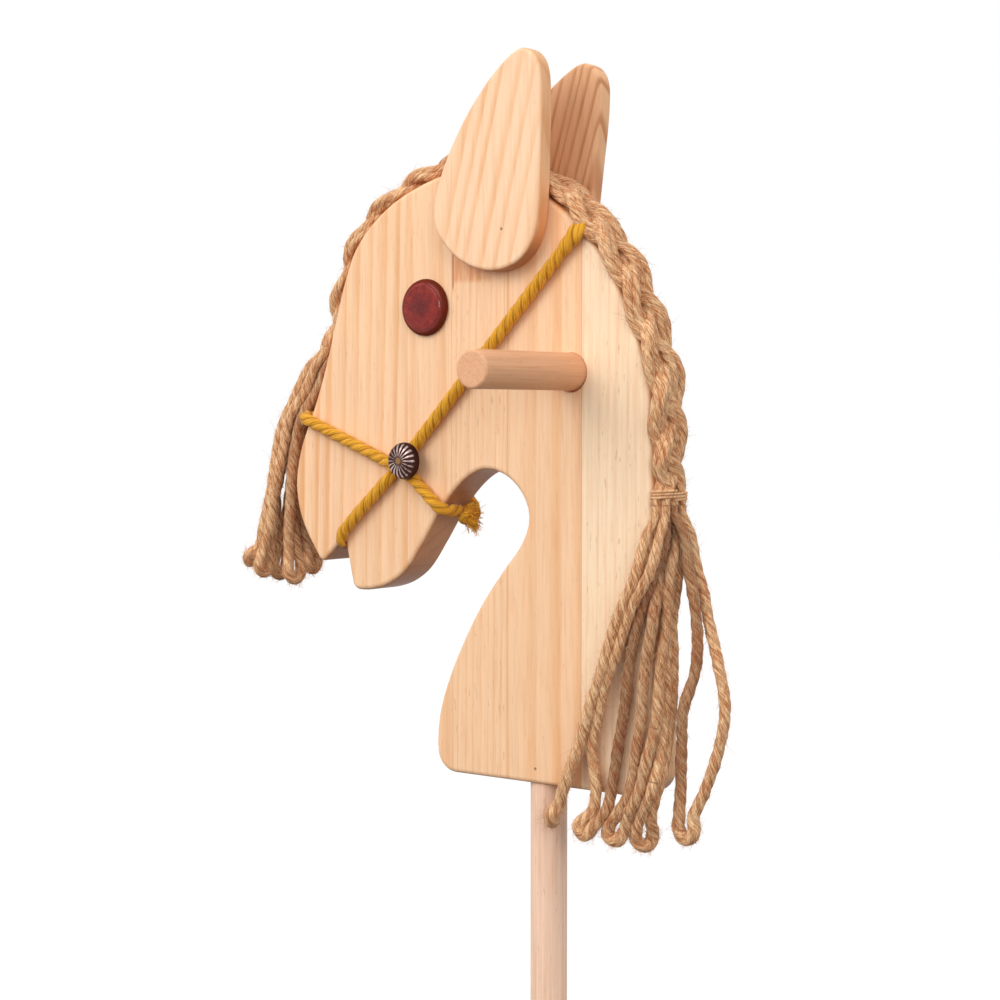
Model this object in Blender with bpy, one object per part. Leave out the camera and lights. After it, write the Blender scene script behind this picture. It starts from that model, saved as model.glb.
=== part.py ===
# Hobby horse: a flat pine head on a beech pole, with a handle dowel, a rope mane and a cord bridle.
# Sizes are in metres. +Z is up, the nose points to -X, and the horse's left side faces -Y.
# The origin is the centre of the pole's foot.

import math

import bmesh
import bpy
import numpy as np

MM = 0.001
GAP = 0.3 * MM

# Driving dimensions: head board, cut from edge-glued pine
BOARD_THICKNESS = 28.0 * MM
BOARD_ROUNDING = 3.0 * MM
OUTLINE_STEP = 11.0 * MM
EAR_OUTLINE_STEP = 7.7 * MM
SMOOTH_BELOW = math.radians(35)

# Driving dimensions: pole and handle, beech dowel
POLE_DIAMETER = 22.0 * MM
POLE_SHOWING = 504.0 * MM
POLE_SEAT_DEPTH = 60.0 * MM
HANDLE_DIAMETER = 22.0 * MM
HANDLE_LENGTH = 200.0 * MM
HANDLE_NEAR_REACH = 108.0 * MM
HANDLE_X, HANDLE_Z = 25.0 * MM, 244.0 * MM
DOWEL_CHAMFER = 1.5 * MM

# Driving dimensions: ears, nailed flat on both faces of the head
EAR_THICKNESS = 12.0 * MM
EAR_ROUNDING = 2.5 * MM
EAR_NAIL_X, EAR_NAIL_Z = -16.0 * MM, 328.0 * MM
RIGHT_EAR_LEAN = math.radians(5.5)
RIGHT_EAR_SHIFT_X, RIGHT_EAR_SHIFT_Z = 4.0 * MM, -2.0 * MM

# Driving dimensions: panel pins
PIN_DIAMETER = 1.8 * MM
PIN_LENGTH = 25.0 * MM
POLE_PIN_Z = 9.0 * MM

# Driving dimensions: eyes and rosettes
EYE_DIAMETER = 34.8 * MM
EYE_THICKNESS = 5.0 * MM
EYE_DOME = 1.2 * MM
EYE_RIM_ROUNDING = 2.2 * MM
DRILL_RUN_OUT = 2.0 * MM
EYE_PEG_DIAMETER = 8.0 * MM
EYE_PEG_LENGTH = 9.0 * MM
EYE_X, EYE_Z = -82.5 * MM, 284.5 * MM
ROSETTE_DIAMETER = 22.8 * MM
ROSETTE_HEIGHT = 7.0 * MM
ROSETTE_SHEET = 0.9 * MM
ROSETTE_SHANK_DIAMETER = 2.0 * MM
ROSETTE_SHANK_IN_WOOD = 12.0 * MM
ROSETTE_X, ROSETTE_Z = -93.0 * MM, 190.6 * MM

# Driving dimensions: bridle cord
BRIDLE_DIAMETER = 7.0 * MM
BRIDLE_PINCH = 0.5
BRIDLE_PINCH_FLAT = 4.8 * MM
BRIDLE_PINCH_REACH = 13.0 * MM
BRIDLE_IN_MOUTH = 0.8
CORD_SHORT_SPAN = 9.0 * MM
KNOT_SIZE = 16.0 * MM
KNOT_BELOW_JAW = 1.5 * MM
KNOT_BOXINESS = 0.6

# Driving dimensions: mane rope
ROPE_DIAMETER = 6.0 * MM
ROPE_TIED_DIAMETER = 4.4 * MM
ROPE_FULL_REACH = 45.0 * MM
BRAID_TO_EAR = 0.6 * MM
BRAID_THICKNESS = 13.0 * MM
BRAID_BOXINESS = 0.62
GROOVE_REACH = 24.0 * MM
NECK_WIDTH = 25.0 * MM
NECK_THICKNESS = 13.6 * MM
NECK_LENGTH = 12.0 * MM
TWINE_DIAMETER = 1.6 * MM
TWINE_PITCH = 2.2 * MM
TWINE_TURNS = 3
TWINE_ABOVE_END = 2.2 * MM
TWINE_BOXINESS = 0.7

HALF_BOARD = BOARD_THICKNESS / 2
BRAID_WIDTH = 2 * (HALF_BOARD + GAP - BRAID_TO_EAR)

# Outline of the head in millimetres from the pole's axis and the board's lower edge, walked from
# the upper lip over the forehead and poll, down the back of the neck and back along the throat.
# A third number marks a corner and gives its radius.
UPPER_LIP = (-170.0, 123.5, 4.0)
CHIN = (-143.0, 108.0, 6.0)
MOUTH_CORNER = (-150.5, 140.5, 1.5)
HEAD_OUTLINE = (
    UPPER_LIP,
    (-183.0, 142.5), (-190.0, 158.0), (-192.3, 177.0), (-187.5, 199.0), (-178.0, 220.0),
    (-167.5, 247.0), (-159.0, 275.0), (-150.5, 302.0), (-139.5, 325.0), (-117.5, 345.5),
    (-91.0, 358.5), (-62.0, 365.5), (-30.0, 362.5), (-8.0, 354.0), (11.5, 343.0), (27.5, 331.0),
    (48.5, 307.0), (58.0, 291.0), (69.5, 265.0), (77.5, 240.5), (80.3, 215.0), (81.0, 175.0),
    (81.5, 100.0),
    (82.0, 0.0, 14.0),
    (-76.0, 0.0, 14.0),
    (-74.0, 33.0), (-66.5, 57.0), (-55.0, 81.0), (-41.0, 104.5), (-25.0, 125.5), (-11.5, 142.0),
    (-6.0, 157.0), (-10.0, 170.5), (-22.0, 182.0), (-37.0, 186.0), (-49.0, 182.5), (-62.0, 172.5),
    (-75.0, 157.0), (-87.0, 139.5), (-100.0, 122.5), (-113.0, 113.5), (-128.0, 109.0),
    CHIN,
    MOUTH_CORNER,
)

# Outline of an ear, in the same frame as the left ear lies on the head.
EAR_OUTLINE = (
    (-28.0, 304.0), (-8.5, 306.5), (4.0, 317.0), (9.8, 335.0), (12.0, 376.0), (12.3, 410.0),
    (8.8, 425.5), (-1.5, 432.0), (-14.0, 426.5), (-32.0, 410.0), (-50.0, 386.0), (-62.0, 363.0),
    (-68.0, 343.0), (-65.0, 328.0), (-49.0, 311.5),
)

# Where the braid begins above the nose and where it is tied, as heights on the outline.
BRAID_FRONT_Z = 261.0 * MM
BRAID_BACK_Z = 168.0 * MM

# Bridle: a point that each cord passes on the cheek, the way that each run leaves it, in degrees
# from +X towards +Z, and where the two cords cross.
HEADSTALL_CHEEK = (-96.0 * MM, 191.3 * MM)
HEADSTALL_TO_POLL = 45.8
HEADSTALL_TO_MOUTH = 222.8
NOSEBAND_CHEEK = (-94.6 * MM, 183.3 * MM)
NOSEBAND_TO_NOSE = 158.8
NOSEBAND_TO_THROAT = -37.0
CORDS_CROSS = (-101.4 * MM, 186.0 * MM)
MOUTH_SLACK = 0.3 * MM
KNOT_Y = 4.5 * MM

# Mane tassel: the ten runs of rope at each height, as (x, y) in millimetres, and the low point of
# each of the five loops that they form in pairs. Here y is measured from the board's left face.
MANE_HEIGHTS = (150.0, 132.0, 107.0, 77.0, 50.0, 28.0, 5.0, -10.0)
MANE_RUNS = {
    "1a": ((87.0, -7.2), (81.5, -10.4), (68.0, -11.3), (57.0, -11.5), (47.5, -11.5), (39.0, -11.0),
           (29.5, -10.4), (22.5, -9.2)),
    "1b": ((85.7, -0.5), (79.5, -4.2), (64.6, -5.3), (53.3, -5.8), (43.7, -5.8), (35.2, -5.4),
           (25.7, -4.8), (19.3, -3.2)),
    "2a": ((93.2, -3.6), (88.5, -7.4), (75.4, -8.4), (64.4, -8.6), (54.8, -7.4), (48.0, -5.8),
           (49.6, -4.6), (46.4, -4.2)),
    "2b": ((91.5, 3.7), (87.0, 0.4), (81.5, -3.8), (74.0, -3.8), (68.5, -3.8), (63.5, -3.8),
           (57.6, -3.8), (53.2, -3.2)),
    "3a": ((85.4, 6.7), (86.2, 8.2), (86.6, 3.2), (82.0, -3.9), (79.0, -3.9), (75.8, -3.9),
           (69.8, -3.9), (61.0, -3.2)),
    "3b": ((91.5, 10.7), (93.0, 5.4), (92.4, 8.0), (87.0, 3.4), (85.6, 2.0), (83.0, -4.0),
           (76.6, -4.2), (67.4, -2.2)),
    "4a": ((85.5, 14.0), (86.4, 15.6), (85.8, 11.8), (86.2, 11.6), (86.4, 9.6), (88.2, 1.6),
           (84.6, -3.6), (74.8, 2.2)),
    "4b": ((91.5, 17.8), (93.2, 13.0), (91.6, 15.4), (92.6, 14.4), (91.6, 15.0), (86.8, 14.2),
           (86.8, 7.2), (80.6, 6.6)),
    "5a": ((98.5, 8.0), (100.0, 9.0), (104.5, 11.0), (103.5, 12.0), (97.0, 9.6), (94.0, 12.0),
           (93.4, 13.4), (92.4, 13.0)),
    "5b": ((98.5, 15.0), (101.0, 17.0), (107.4, 18.2), (116.0, 16.0), (122.5, 15.0), (116.0, 15.0),
           (108.0, 15.0), (101.4, 14.2)),
}
MANE_LOW_POINTS = ((17.0, -6.4, -19.0), (40.5, -5.6, -24.0), (58.4, -1.0, -26.0),
                   (71.8, 7.8, -29.0), (96.4, 14.0, -23.0))

# Forelock: the same, in front of the face and the noseband, with y measured from the middle of the
# board and x from a bridle cord's thickness in front of the pole's axis.
FORELOCK_HEIGHTS = (250.0, 235.0, 217.0, 195.0, 168.0, 142.0, 126.0)
FORELOCK_RUNS = {
    "1a": ((-179.2, -6.4), (-188.4, -7.2), (-201.6, -7.5), (-209.0, -8.0), (-215.8, -8.4),
           (-224.0, -8.0), (-230.0, -7.4)),
    "1b": ((-179.9, 0.4), (-190.6, 0.4), (-206.0, 0.2), (-213.6, -0.8), (-221.2, -1.0),
           (-229.6, -1.0), (-235.0, -2.6)),
    "2a": ((-172.0, -8.9), (-180.0, -9.6), (-193.5, -9.6), (-200.0, -10.0), (-205.8, -10.6),
           (-211.0, -10.2), (-215.2, -9.8)),
    "2b": ((-173.0, -2.5), (-182.2, -2.2), (-197.6, -1.7), (-204.0, -2.4), (-210.3, -3.2),
           (-215.8, -3.4), (-220.0, -4.2)),
    "3a": ((-178.9, 6.7), (-189.0, 7.8), (-201.6, 6.4), (-207.6, 4.6), (-216.2, 4.6),
           (-217.4, 4.0), (-215.0, 3.0)),
    "3b": ((-172.7, 9.9), (-182.0, 12.2), (-198.0, 12.6), (-210.0, 11.6), (-219.0, 11.6),
           (-220.2, 11.0), (-218.0, 9.4)),
    "4a": ((-164.9, -5.9), (-172.4, -6.5), (-185.4, -7.6), (-192.0, -8.0), (-195.4, -8.6),
           (-197.0, -8.6), (-198.2, -7.6)),
    "4b": ((-166.1, 0.4), (-174.4, 0.9), (-189.4, -1.2), (-196.0, -1.4), (-199.2, -1.4),
           (-200.2, -1.4), (-201.2, -1.4)),
    "5a": ((-172.6, 3.6), (-181.4, 5.0), (-193.0, 5.6), (-199.0, 5.4), (-194.0, 5.0),
           (-193.4, 5.2), (-189.4, 6.0)),
    "5b": ((-165.6, 6.6), (-173.4, 8.0), (-185.6, 8.4), (-202.0, 12.4), (-196.4, 12.2),
           (-195.2, 12.2), (-191.4, 12.6)),
}
FORELOCK_LOW_POINTS = ((-239.0, -5.2, 115.0), (-222.0, -7.2, 112.0), (-217.4, 5.4, 110.0),
                       (-199.4, -4.2, 109.0), (-189.4, 9.2, 114.0))

# How the ten runs are packed where they leave the braid: (across the edge, along Y) in rope pitches.
MANE_PACKING = {
    "1b": (-1, -1.0), "3a": (-1, 0.0), "4a": (-1, 1.0),
    "1a": (0, -1.5), "2b": (0, -0.5), "3b": (0, 0.5), "4b": (0, 1.5),
    "2a": (1, -1.0), "5a": (1, 0.0), "5b": (1, 1.0),
}
FORELOCK_PACKING = {
    "1a": (1, -1.0), "1b": (1, 0.0), "3a": (1, 1.0),
    "2a": (0, -1.5), "2b": (0, -0.5), "5a": (0, 0.5), "3b": (0, 1.5),
    "4a": (-1, -1.0), "4b": (-1, 0.0), "5b": (-1, 1.0),
}


def unit(v):
    return np.asarray(v, float) / np.linalg.norm(v)


def span(a, b, out_of_a, into_b, count):
    """Points on a cubic from a up to b, without b, whose handles are a third of the chord long."""
    third = np.linalg.norm(b - a) / 3
    t = (np.arange(count) / count)[:, None]
    c, d = a + out_of_a * third, b - into_b * third
    return (1 - t) ** 3 * a + 3 * (1 - t) ** 2 * t * c + 3 * (1 - t) * t ** 2 * d + t ** 3 * b


def flowing(points, counts):
    """A smooth open curve through the points, with counts[i] steps from point i to the next."""
    p = np.asarray(points, float)
    ways = [unit(p[1] - p[0])] + [unit(b - a) for a, b in zip(p[:-2], p[2:])] + [unit(p[-1] - p[-2])]
    parts = [span(p[i], p[i + 1], ways[i], ways[i + 1], n) for i, n in enumerate(counts)]
    return np.vstack(parts + [p[-1:]])


def corner_arc(corner, way_in, way_out, radius, steps=5):
    """An arc that rounds a corner, and how far from the corner it begins."""
    turn = math.acos(max(-1.0, min(1.0, float(way_in @ way_out))))
    reach = radius * math.tan(turn / 2)
    middle = corner + unit(way_out - way_in) * radius / math.cos(turn / 2)
    start, end = corner - way_in * reach - middle, corner + way_out * reach - middle
    share = np.linspace(0, 1, steps + 1)[:, None]
    arc = middle + (np.sin((1 - share) * turn) * start + np.sin(share * turn) * end) / math.sin(turn)
    return arc, reach


def closed_outline(entries, step):
    """Points along a closed outline: smooth through its points, with arcs at its corners."""
    spots = [np.array(e[:2]) * MM for e in entries]
    radii = [e[2] * MM if len(e) == 3 else None for e in entries]
    total = len(spots)

    def way(i, leaving):
        before, here, after = spots[i - 1], spots[i], spots[(i + 1) % total]
        if radii[i] is None:
            return unit(after - before)
        return unit(after - here) if leaving else unit(here - before)

    points = []
    for i in range(total):
        nxt = (i + 1) % total
        count = max(3, round(float(np.linalg.norm(spots[nxt] - spots[i])) / step))
        points += list(span(spots[i], spots[nxt], way(i, True), way(nxt, False), count))
    for i in range(total):
        if radii[i] is None:
            continue
        arc, reach = corner_arc(spots[i], way(i, False), way(i, True), radii[i])
        near = [k for k, p in enumerate(points) if np.linalg.norm(p - spots[i]) < reach + step / 4]
        first = near[0] if 0 not in near else next(k for k in reversed(near) if k - 1 not in near)
        points = points[first:] + points[:first]
        points = list(arc) + points[len(near):]
    return np.array(points)


def outward_normals(outline):
    """Unit normals of a closed outline, pointing out of it."""
    along = np.roll(outline, -1, 0) - np.roll(outline, 1, 0)
    normals = np.stack([along[:, 1], -along[:, 0]], 1)
    normals /= np.linalg.norm(normals, axis=1)[:, None]
    x, z = outline.T
    turned = np.sum(x * np.roll(z, -1) - np.roll(x, -1) * z)
    return normals * np.sign(turned)


def finish(name, colour, roughness, metallic=0.0):
    material = bpy.data.materials.new(name)
    material.use_nodes = True
    shader = material.node_tree.nodes["Principled BSDF"]
    shader.inputs["Base Color"].default_value = (*colour, 1.0)
    shader.inputs["Roughness"].default_value = roughness
    shader.inputs["Metallic"].default_value = metallic
    return material


def add_object(name, data, material, parent, location=(0, 0, 0), rotation=(0, 0, 0)):
    obj = bpy.data.objects.new(name, data)
    if data is not None and material is not None:
        data.materials.append(material)
    obj.parent = parent
    obj.location = location
    obj.rotation_euler = rotation
    bpy.context.scene.collection.objects.link(obj)
    return obj


def closed_mesh(name, points, faces):
    """A mesh from points and faces, with its faces pointing out and its round sides shaded smooth."""
    mesh = bpy.data.meshes.new(name)
    mesh.from_pydata([tuple(p) for p in points], [], faces)
    bm = bmesh.new()
    bm.from_mesh(mesh)
    bmesh.ops.remove_doubles(bm, verts=bm.verts, dist=0.001 * MM)
    bmesh.ops.recalc_face_normals(bm, faces=bm.faces)
    bm.to_mesh(mesh)
    bm.free()
    mesh.shade_smooth()
    mesh.set_sharp_from_angle(angle=SMOOTH_BELOW)
    return mesh


def stacked_rings(rings):
    """Points and faces of a body made of rings of equal length, closed at both ends."""
    count = len(rings[0])
    points = np.vstack(rings)
    faces = []
    for r in range(len(rings) - 1):
        for k in range(count):
            nxt = (k + 1) % count
            faces.append((r * count + k, r * count + nxt, (r + 1) * count + nxt, (r + 1) * count + k))
    faces.append(tuple(range(count)))
    faces.append(tuple(range(len(points) - count, len(points))))
    return points, faces


def plate(name, outline, thickness, rounding):
    """A flat board of an outline in X and Z, centred on y = 0, with its long edges rounded over."""
    normals = outward_normals(outline)
    half = thickness / 2
    rings = []
    for side in (-1, 1):
        for angle in (0.0, 45.0, 90.0) if side < 0 else (90.0, 45.0, 0.0):
            a = math.radians(angle)
            flat = outline - normals * rounding * (1 - math.sin(a))
            y = side * (half - rounding * (1 - math.cos(a)))
            rings.append(np.stack([flat[:, 0], np.full(len(flat), y), flat[:, 1]], 1))
    return closed_mesh(name, *stacked_rings(rings))


def turned(name, profile, sides):
    """A body turned about Z from (radius, height) pairs that begin and end on the axis."""
    around = np.arange(sides) * 2 * math.pi / sides
    rings = [
        np.stack([r * np.cos(around), r * np.sin(around), np.full(sides, h)], 1)
        for r, h in profile if r > 0
    ]
    return closed_mesh(name, *stacked_rings(rings))


def dowel(name, diameter, length, chamfer, sides=40):
    r = diameter / 2
    profile = ((r - chamfer, 0.0), (r, chamfer), (r, length - chamfer), (r - chamfer, length))
    return turned(name, profile, sides)


def drill(name, diameter, length, parent, location, rotation=(0, 0, 0), sides=40):
    """A hidden cylinder that a Boolean takes out of a piece: it runs along its own +Z."""
    mesh = dowel(name, diameter, length, diameter / 50, sides)
    obj = add_object(name, mesh, None, parent, location, rotation)
    obj.hide_render = True
    obj.display_type = "WIRE"
    return obj


def cut(obj, *cutters):
    for cutter in cutters:
        modifier = obj.modifiers.new("cut_" + cutter.name, "BOOLEAN")
        modifier.operation = "DIFFERENCE"
        modifier.object = cutter


def tube_mesh(name, points, radii, sides, flatness=None):
    """A round tube through the points whose rings keep from twisting about the path. A flatness
    under 1 presses a ring together along Y."""
    points = np.asarray(points, float)
    along = np.gradient(points, axis=0)
    along /= np.linalg.norm(along, axis=1)[:, None]
    side = unit(np.cross(along[0], (0.31, 0.17, 0.93)))
    around = np.arange(sides) * 2 * math.pi / sides
    press = np.ones(len(points)) if flatness is None else flatness
    rings = []
    for p, d, r, f in zip(points, along, radii, press):
        side = unit(side - d * (side @ d))
        other = np.cross(d, side)
        ring = r * (np.cos(around)[:, None] * side + np.sin(around)[:, None] * other)
        rings.append(p + ring * (1, f, 1))
    return closed_mesh(name, *stacked_rings(rings))


def rope_curve(name, points, radii):
    """A hanging rope as a straight-sectioned curve with a round bevel and filled ends."""
    curve = bpy.data.curves.new(name, "CURVE")
    curve.dimensions = "3D"
    curve.bevel_depth = ROPE_DIAMETER / 2
    curve.bevel_resolution = 2
    curve.use_fill_caps = True
    spline = curve.splines.new("POLY")
    spline.points.add(len(points) - 1)
    for spot, p, r in zip(spline.points, points, radii):
        spot.co = (*p, 1.0)
        spot.radius = r / (ROPE_DIAMETER / 2)
    return curve


for old in list(bpy.data.objects):
    bpy.data.objects.remove(old, do_unlink=True)

PINE = finish("oiled_pine", (0.92, 0.68, 0.40), 0.5)
BEECH = finish("beech_dowel", (0.68, 0.42, 0.25), 0.5)
POLE_BEECH = finish("pale_beech", (0.74, 0.50, 0.34), 0.55)
JUTE = finish("jute_rope", (0.44, 0.27, 0.13), 0.9)
TWINE = finish("jute_twine", (0.52, 0.34, 0.18), 0.9)
YELLOW = finish("mustard_cord", (0.72, 0.38, 0.02), 0.75)
STAINED = finish("red_stained_wood", (0.16, 0.02, 0.02), 0.25)
COPPER = finish("aged_copper", (0.20, 0.10, 0.08), 0.35, 1.0)
STEEL = finish("steel_pin", (0.35, 0.33, 0.32), 0.4, 1.0)

head = add_object("head_frame", None, None, None, (0, 0, POLE_SHOWING))
SIDES = {"left": -1, "right": 1}
LOOK_LEFT = (math.radians(90), 0, 0)
LOOK_RIGHT = (math.radians(-90), 0, 0)


def make_board(outline):
    mesh = plate("head_board", outline, BOARD_THICKNESS, BOARD_ROUNDING)
    board = add_object("head_board", mesh, PINE, head)
    seat = POLE_SEAT_DEPTH + GAP + BOARD_ROUNDING
    pole_hole = drill("pole_hole", POLE_DIAMETER + 2 * GAP, seat, head, (0, 0, -BOARD_ROUNDING))
    through = BOARD_THICKNESS + 2 * DRILL_RUN_OUT
    start = (HANDLE_X, through / 2, HANDLE_Z)
    handle_hole = drill("handle_hole", HANDLE_DIAMETER + 2 * GAP, through, head, start, LOOK_LEFT)
    cut(board, pole_hole, handle_hole)
    return board


def make_pole():
    length = POLE_SHOWING + POLE_SEAT_DEPTH
    return add_object("pole", dowel("pole", POLE_DIAMETER, length, DOWEL_CHAMFER), POLE_BEECH, None)


def make_handle():
    mesh = dowel("handle_dowel", HANDLE_DIAMETER, HANDLE_LENGTH, DOWEL_CHAMFER)
    start = (HANDLE_X, HANDLE_LENGTH - HANDLE_NEAR_REACH, HANDLE_Z)
    return add_object("handle_dowel", mesh, BEECH, head, start, LOOK_LEFT)


def make_pin(name, location, rotation):
    r = PIN_DIAMETER / 2
    profile = ((r / 4, 0.0), (r, 2 * r), (r, PIN_LENGTH - r / 3), (r * 0.8, PIN_LENGTH))
    return add_object(name, turned(name, profile, 12), STEEL, head, location, rotation)


def pin_drill(name, location, rotation):
    """The hole of a pin, a little deeper than its point and open past its head."""
    back = 2 * GAP
    start = (location[0], location[1] + back * math.copysign(1, rotation[0]), location[2])
    return drill(name, PIN_DIAMETER + 2 * GAP, PIN_LENGTH + 2 * back, head, start, rotation, 12)


def make_pole_pin(board, pole):
    """A pin through the left face of the board and the pole behind it."""
    spot = (0, -HALF_BOARD + PIN_LENGTH, POLE_PIN_Z)
    make_pin("pole_pin", spot, LOOK_LEFT)
    bore = pin_drill("pole_pin_hole", spot, LOOK_LEFT)
    cut(board, bore)
    cut(pole, bore)


def make_ear(side_name, outline, board):
    """An ear on one face of the head. The right one was set a little further back and leans."""
    side = SIDES[side_name]
    lean = RIGHT_EAR_LEAN if side > 0 else 0.0
    shift = np.array((RIGHT_EAR_SHIFT_X, RIGHT_EAR_SHIFT_Z) if side > 0 else (0.0, 0.0))
    foot = outline[np.argmin(outline[:, 1])]
    turn = np.array(((math.cos(lean), math.sin(lean)), (-math.sin(lean), math.cos(lean))))
    placed = (outline - foot) @ turn.T + foot + shift
    mesh = plate(side_name + "_ear", placed, EAR_THICKNESS, EAR_ROUNDING)
    middle = side * (HALF_BOARD + GAP + EAR_THICKNESS / 2)
    ear = add_object(side_name + "_ear", mesh, PINE, head, (0, middle, 0))
    nail = turn @ (np.array((EAR_NAIL_X, EAR_NAIL_Z)) - foot) + foot + shift
    out = HALF_BOARD + GAP + EAR_THICKNESS
    rotation = LOOK_LEFT if side < 0 else LOOK_RIGHT
    spot = (nail[0], side * (out - PIN_LENGTH), nail[1])
    make_pin(side_name + "_ear_pin", spot, rotation)
    bore = pin_drill(side_name + "_ear_pin_hole", spot, rotation)
    cut(ear, bore)
    cut(board, bore)


def make_eye(side_name, board):
    """A turned button with a rounded rim and a low dome, on a peg in the board."""
    side = SIDES[side_name]
    r, edge = EYE_DIAMETER / 2, EYE_RIM_ROUNDING
    peg = EYE_PEG_DIAMETER / 2
    rim = [(r - edge + edge * math.sin(a), GAP + EYE_THICKNESS - edge + edge * math.cos(a))
           for a in (math.pi / 2, math.pi / 4, 0.0)]
    flat_r, flat_h = rim[-1]
    dome = [(flat_r * (1 - s), flat_h + EYE_DOME * math.sin(s * math.pi / 2)) for s in (0.3, 0.6, 0.9)]
    profile = [(peg - 0.5 * MM, -EYE_PEG_LENGTH), (peg, -EYE_PEG_LENGTH + 0.5 * MM), (peg, GAP),
               (r - 1.0 * MM, GAP), (r, GAP + 1.0 * MM)] + rim + dome
    rotation = LOOK_LEFT if side < 0 else LOOK_RIGHT
    face = (EYE_X, side * HALF_BOARD, EYE_Z)
    add_object(side_name + "_eye", turned(side_name + "_eye", profile, 28), STAINED, head, face, rotation)
    depth = EYE_PEG_LENGTH + GAP
    length = depth + DRILL_RUN_OUT
    start = (EYE_X, side * (HALF_BOARD - depth), EYE_Z)
    bore = drill(side_name + "_eye_hole", EYE_PEG_DIAMETER + 2 * GAP, length, head, start, rotation, 24)
    cut(board, bore)


def rosette_rim():
    """How far the rosette's rim stands off the board: just over a full cord."""
    return GAP + BRIDLE_DIAMETER + 3 * GAP


def make_rosette(side_name, board, cords):
    """A domed metal nail head with a hollow underside, over the place where the cords cross."""
    side = SIDES[side_name]
    r, rise, wall = ROSETTE_DIAMETER / 2, ROSETTE_HEIGHT, ROSETTE_SHEET
    shank = ROSETTE_SHANK_DIAMETER / 2
    rim = rosette_rim()
    outer = [(r * math.cos(a), rim + rise * math.sin(a)) for a in np.radians((0, 14, 30, 46, 62, 78))]
    inside = np.radians((78, 62, 46, 30, 14, 0))
    inner = [((r - wall) * math.cos(a), rim + (rise - wall) * math.sin(a)) for a in inside]
    inner = [spot for spot in inner if spot[0] > 1.3 * shank]
    tip = [(shank * 0.3, -ROSETTE_SHANK_IN_WOOD), (shank, -ROSETTE_SHANK_IN_WOOD + 3 * shank)]
    profile = tip + [(shank, rim + rise - wall)] + inner + outer
    rotation = LOOK_LEFT if side < 0 else LOOK_RIGHT
    name = side_name + "_rosette"
    face = (ROSETTE_X, side * HALF_BOARD, ROSETTE_Z)
    add_object(name, turned(name, profile, 24), COPPER, head, face, rotation)
    depth = ROSETTE_SHANK_IN_WOOD + GAP
    start = (ROSETTE_X, side * (HALF_BOARD - depth), ROSETTE_Z)
    length = depth + rim + rise / 2
    wide = ROSETTE_SHANK_DIAMETER + 2 * GAP
    bore = drill(side_name + "_shank_hole", wide, length, head, start, rotation, 12)
    cut(board, bore)
    for cord in cords:
        cut(cord, bore)


def heading(degrees):
    """A unit vector in X and Z."""
    return np.array((math.cos(math.radians(degrees)), math.sin(math.radians(degrees))))


def edge_ahead(outline, start, way):
    """Where a straight run over the board's face, from start, comes to the board's edge."""
    best = None
    for a, b in zip(outline, np.roll(outline, -1, 0)):
        side = b - a
        cross = way[0] * side[1] - way[1] * side[0]
        if abs(cross) < 1e-12:
            continue
        gap = a - start
        ahead = (gap[0] * side[1] - gap[1] * side[0]) / cross
        share = (gap[0] * way[1] - gap[1] * way[0]) / cross
        if ahead > 0 and 0 <= share <= 1 and (best is None or ahead < best):
            best = ahead
    return start + way * best


def round_edge(edge, way, steps=4):
    """The cord's centre line round a rounded edge of the board, from the left face to the right."""
    hold = BOARD_ROUNDING + GAP + BRIDLE_DIAMETER / 2
    middle = edge - way * BOARD_ROUNDING
    across = HALF_BOARD - BOARD_ROUNDING
    turns = np.linspace(0, math.pi / 2, steps + 1)
    flat = [middle + way * hold * math.sin(a) for a in turns]
    return [np.array((x, -across - hold * math.cos(a), z)) for (x, z), a in zip(flat, turns)]


def mirrored(points):
    return [np.array((p[0], -p[1], p[2])) for p in points]


def on_cheek(spots):
    """Points in X and Z placed at the height of a cord that lies on the left face."""
    face = HALF_BOARD + GAP + BRIDLE_DIAMETER / 2
    return [np.array((x, -face, z)) for x, z in spots]


def pressed(points, over):
    """How flat a bridle cord is at each point, and its centre line moved to suit. Where the cords
    cross under a rosette both are pressed flat, and the noseband lies over the headstall."""
    full = BRIDLE_DIAMETER / 2
    away = np.linalg.norm(points[:, [0, 2]] - np.array(CORDS_CROSS), axis=1)
    near = np.clip((BRIDLE_PINCH_REACH - away) / (BRIDLE_PINCH_REACH - BRIDLE_PINCH_FLAT), 0, 1)
    near = near * near * (3 - 2 * near) * (np.abs(points[:, 1]) > HALF_BOARD)
    flatness = 1 - (1 - BRIDLE_PINCH) * near
    low = full * BRIDLE_PINCH
    stand_off = low - full + (2 * low + 2 * GAP if over else 0.0)
    moved = points.copy()
    moved[:, 1] += np.sign(points[:, 1]) * stand_off * near
    return moved, flatness


def steps_between(route):
    return [1 if np.linalg.norm(b - a) < CORD_SHORT_SPAN else 3 for a, b in zip(route[:-1], route[1:])]


def mouth_seat():
    """Where the cord's centre line passes through the mouth, as deep in the notch as it fits."""
    corner = np.array(MOUTH_CORNER[:2]) * MM
    to_lip, to_chin = unit(np.array(UPPER_LIP[:2]) * MM - corner), unit(np.array(CHIN[:2]) * MM - corner)
    half_angle = math.acos(float(to_lip @ to_chin)) / 2
    radius = BRIDLE_DIAMETER / 2 * BRIDLE_IN_MOUTH
    return corner + unit(to_lip + to_chin) * (radius + GAP + MOUTH_SLACK) / math.sin(half_angle)


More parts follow.
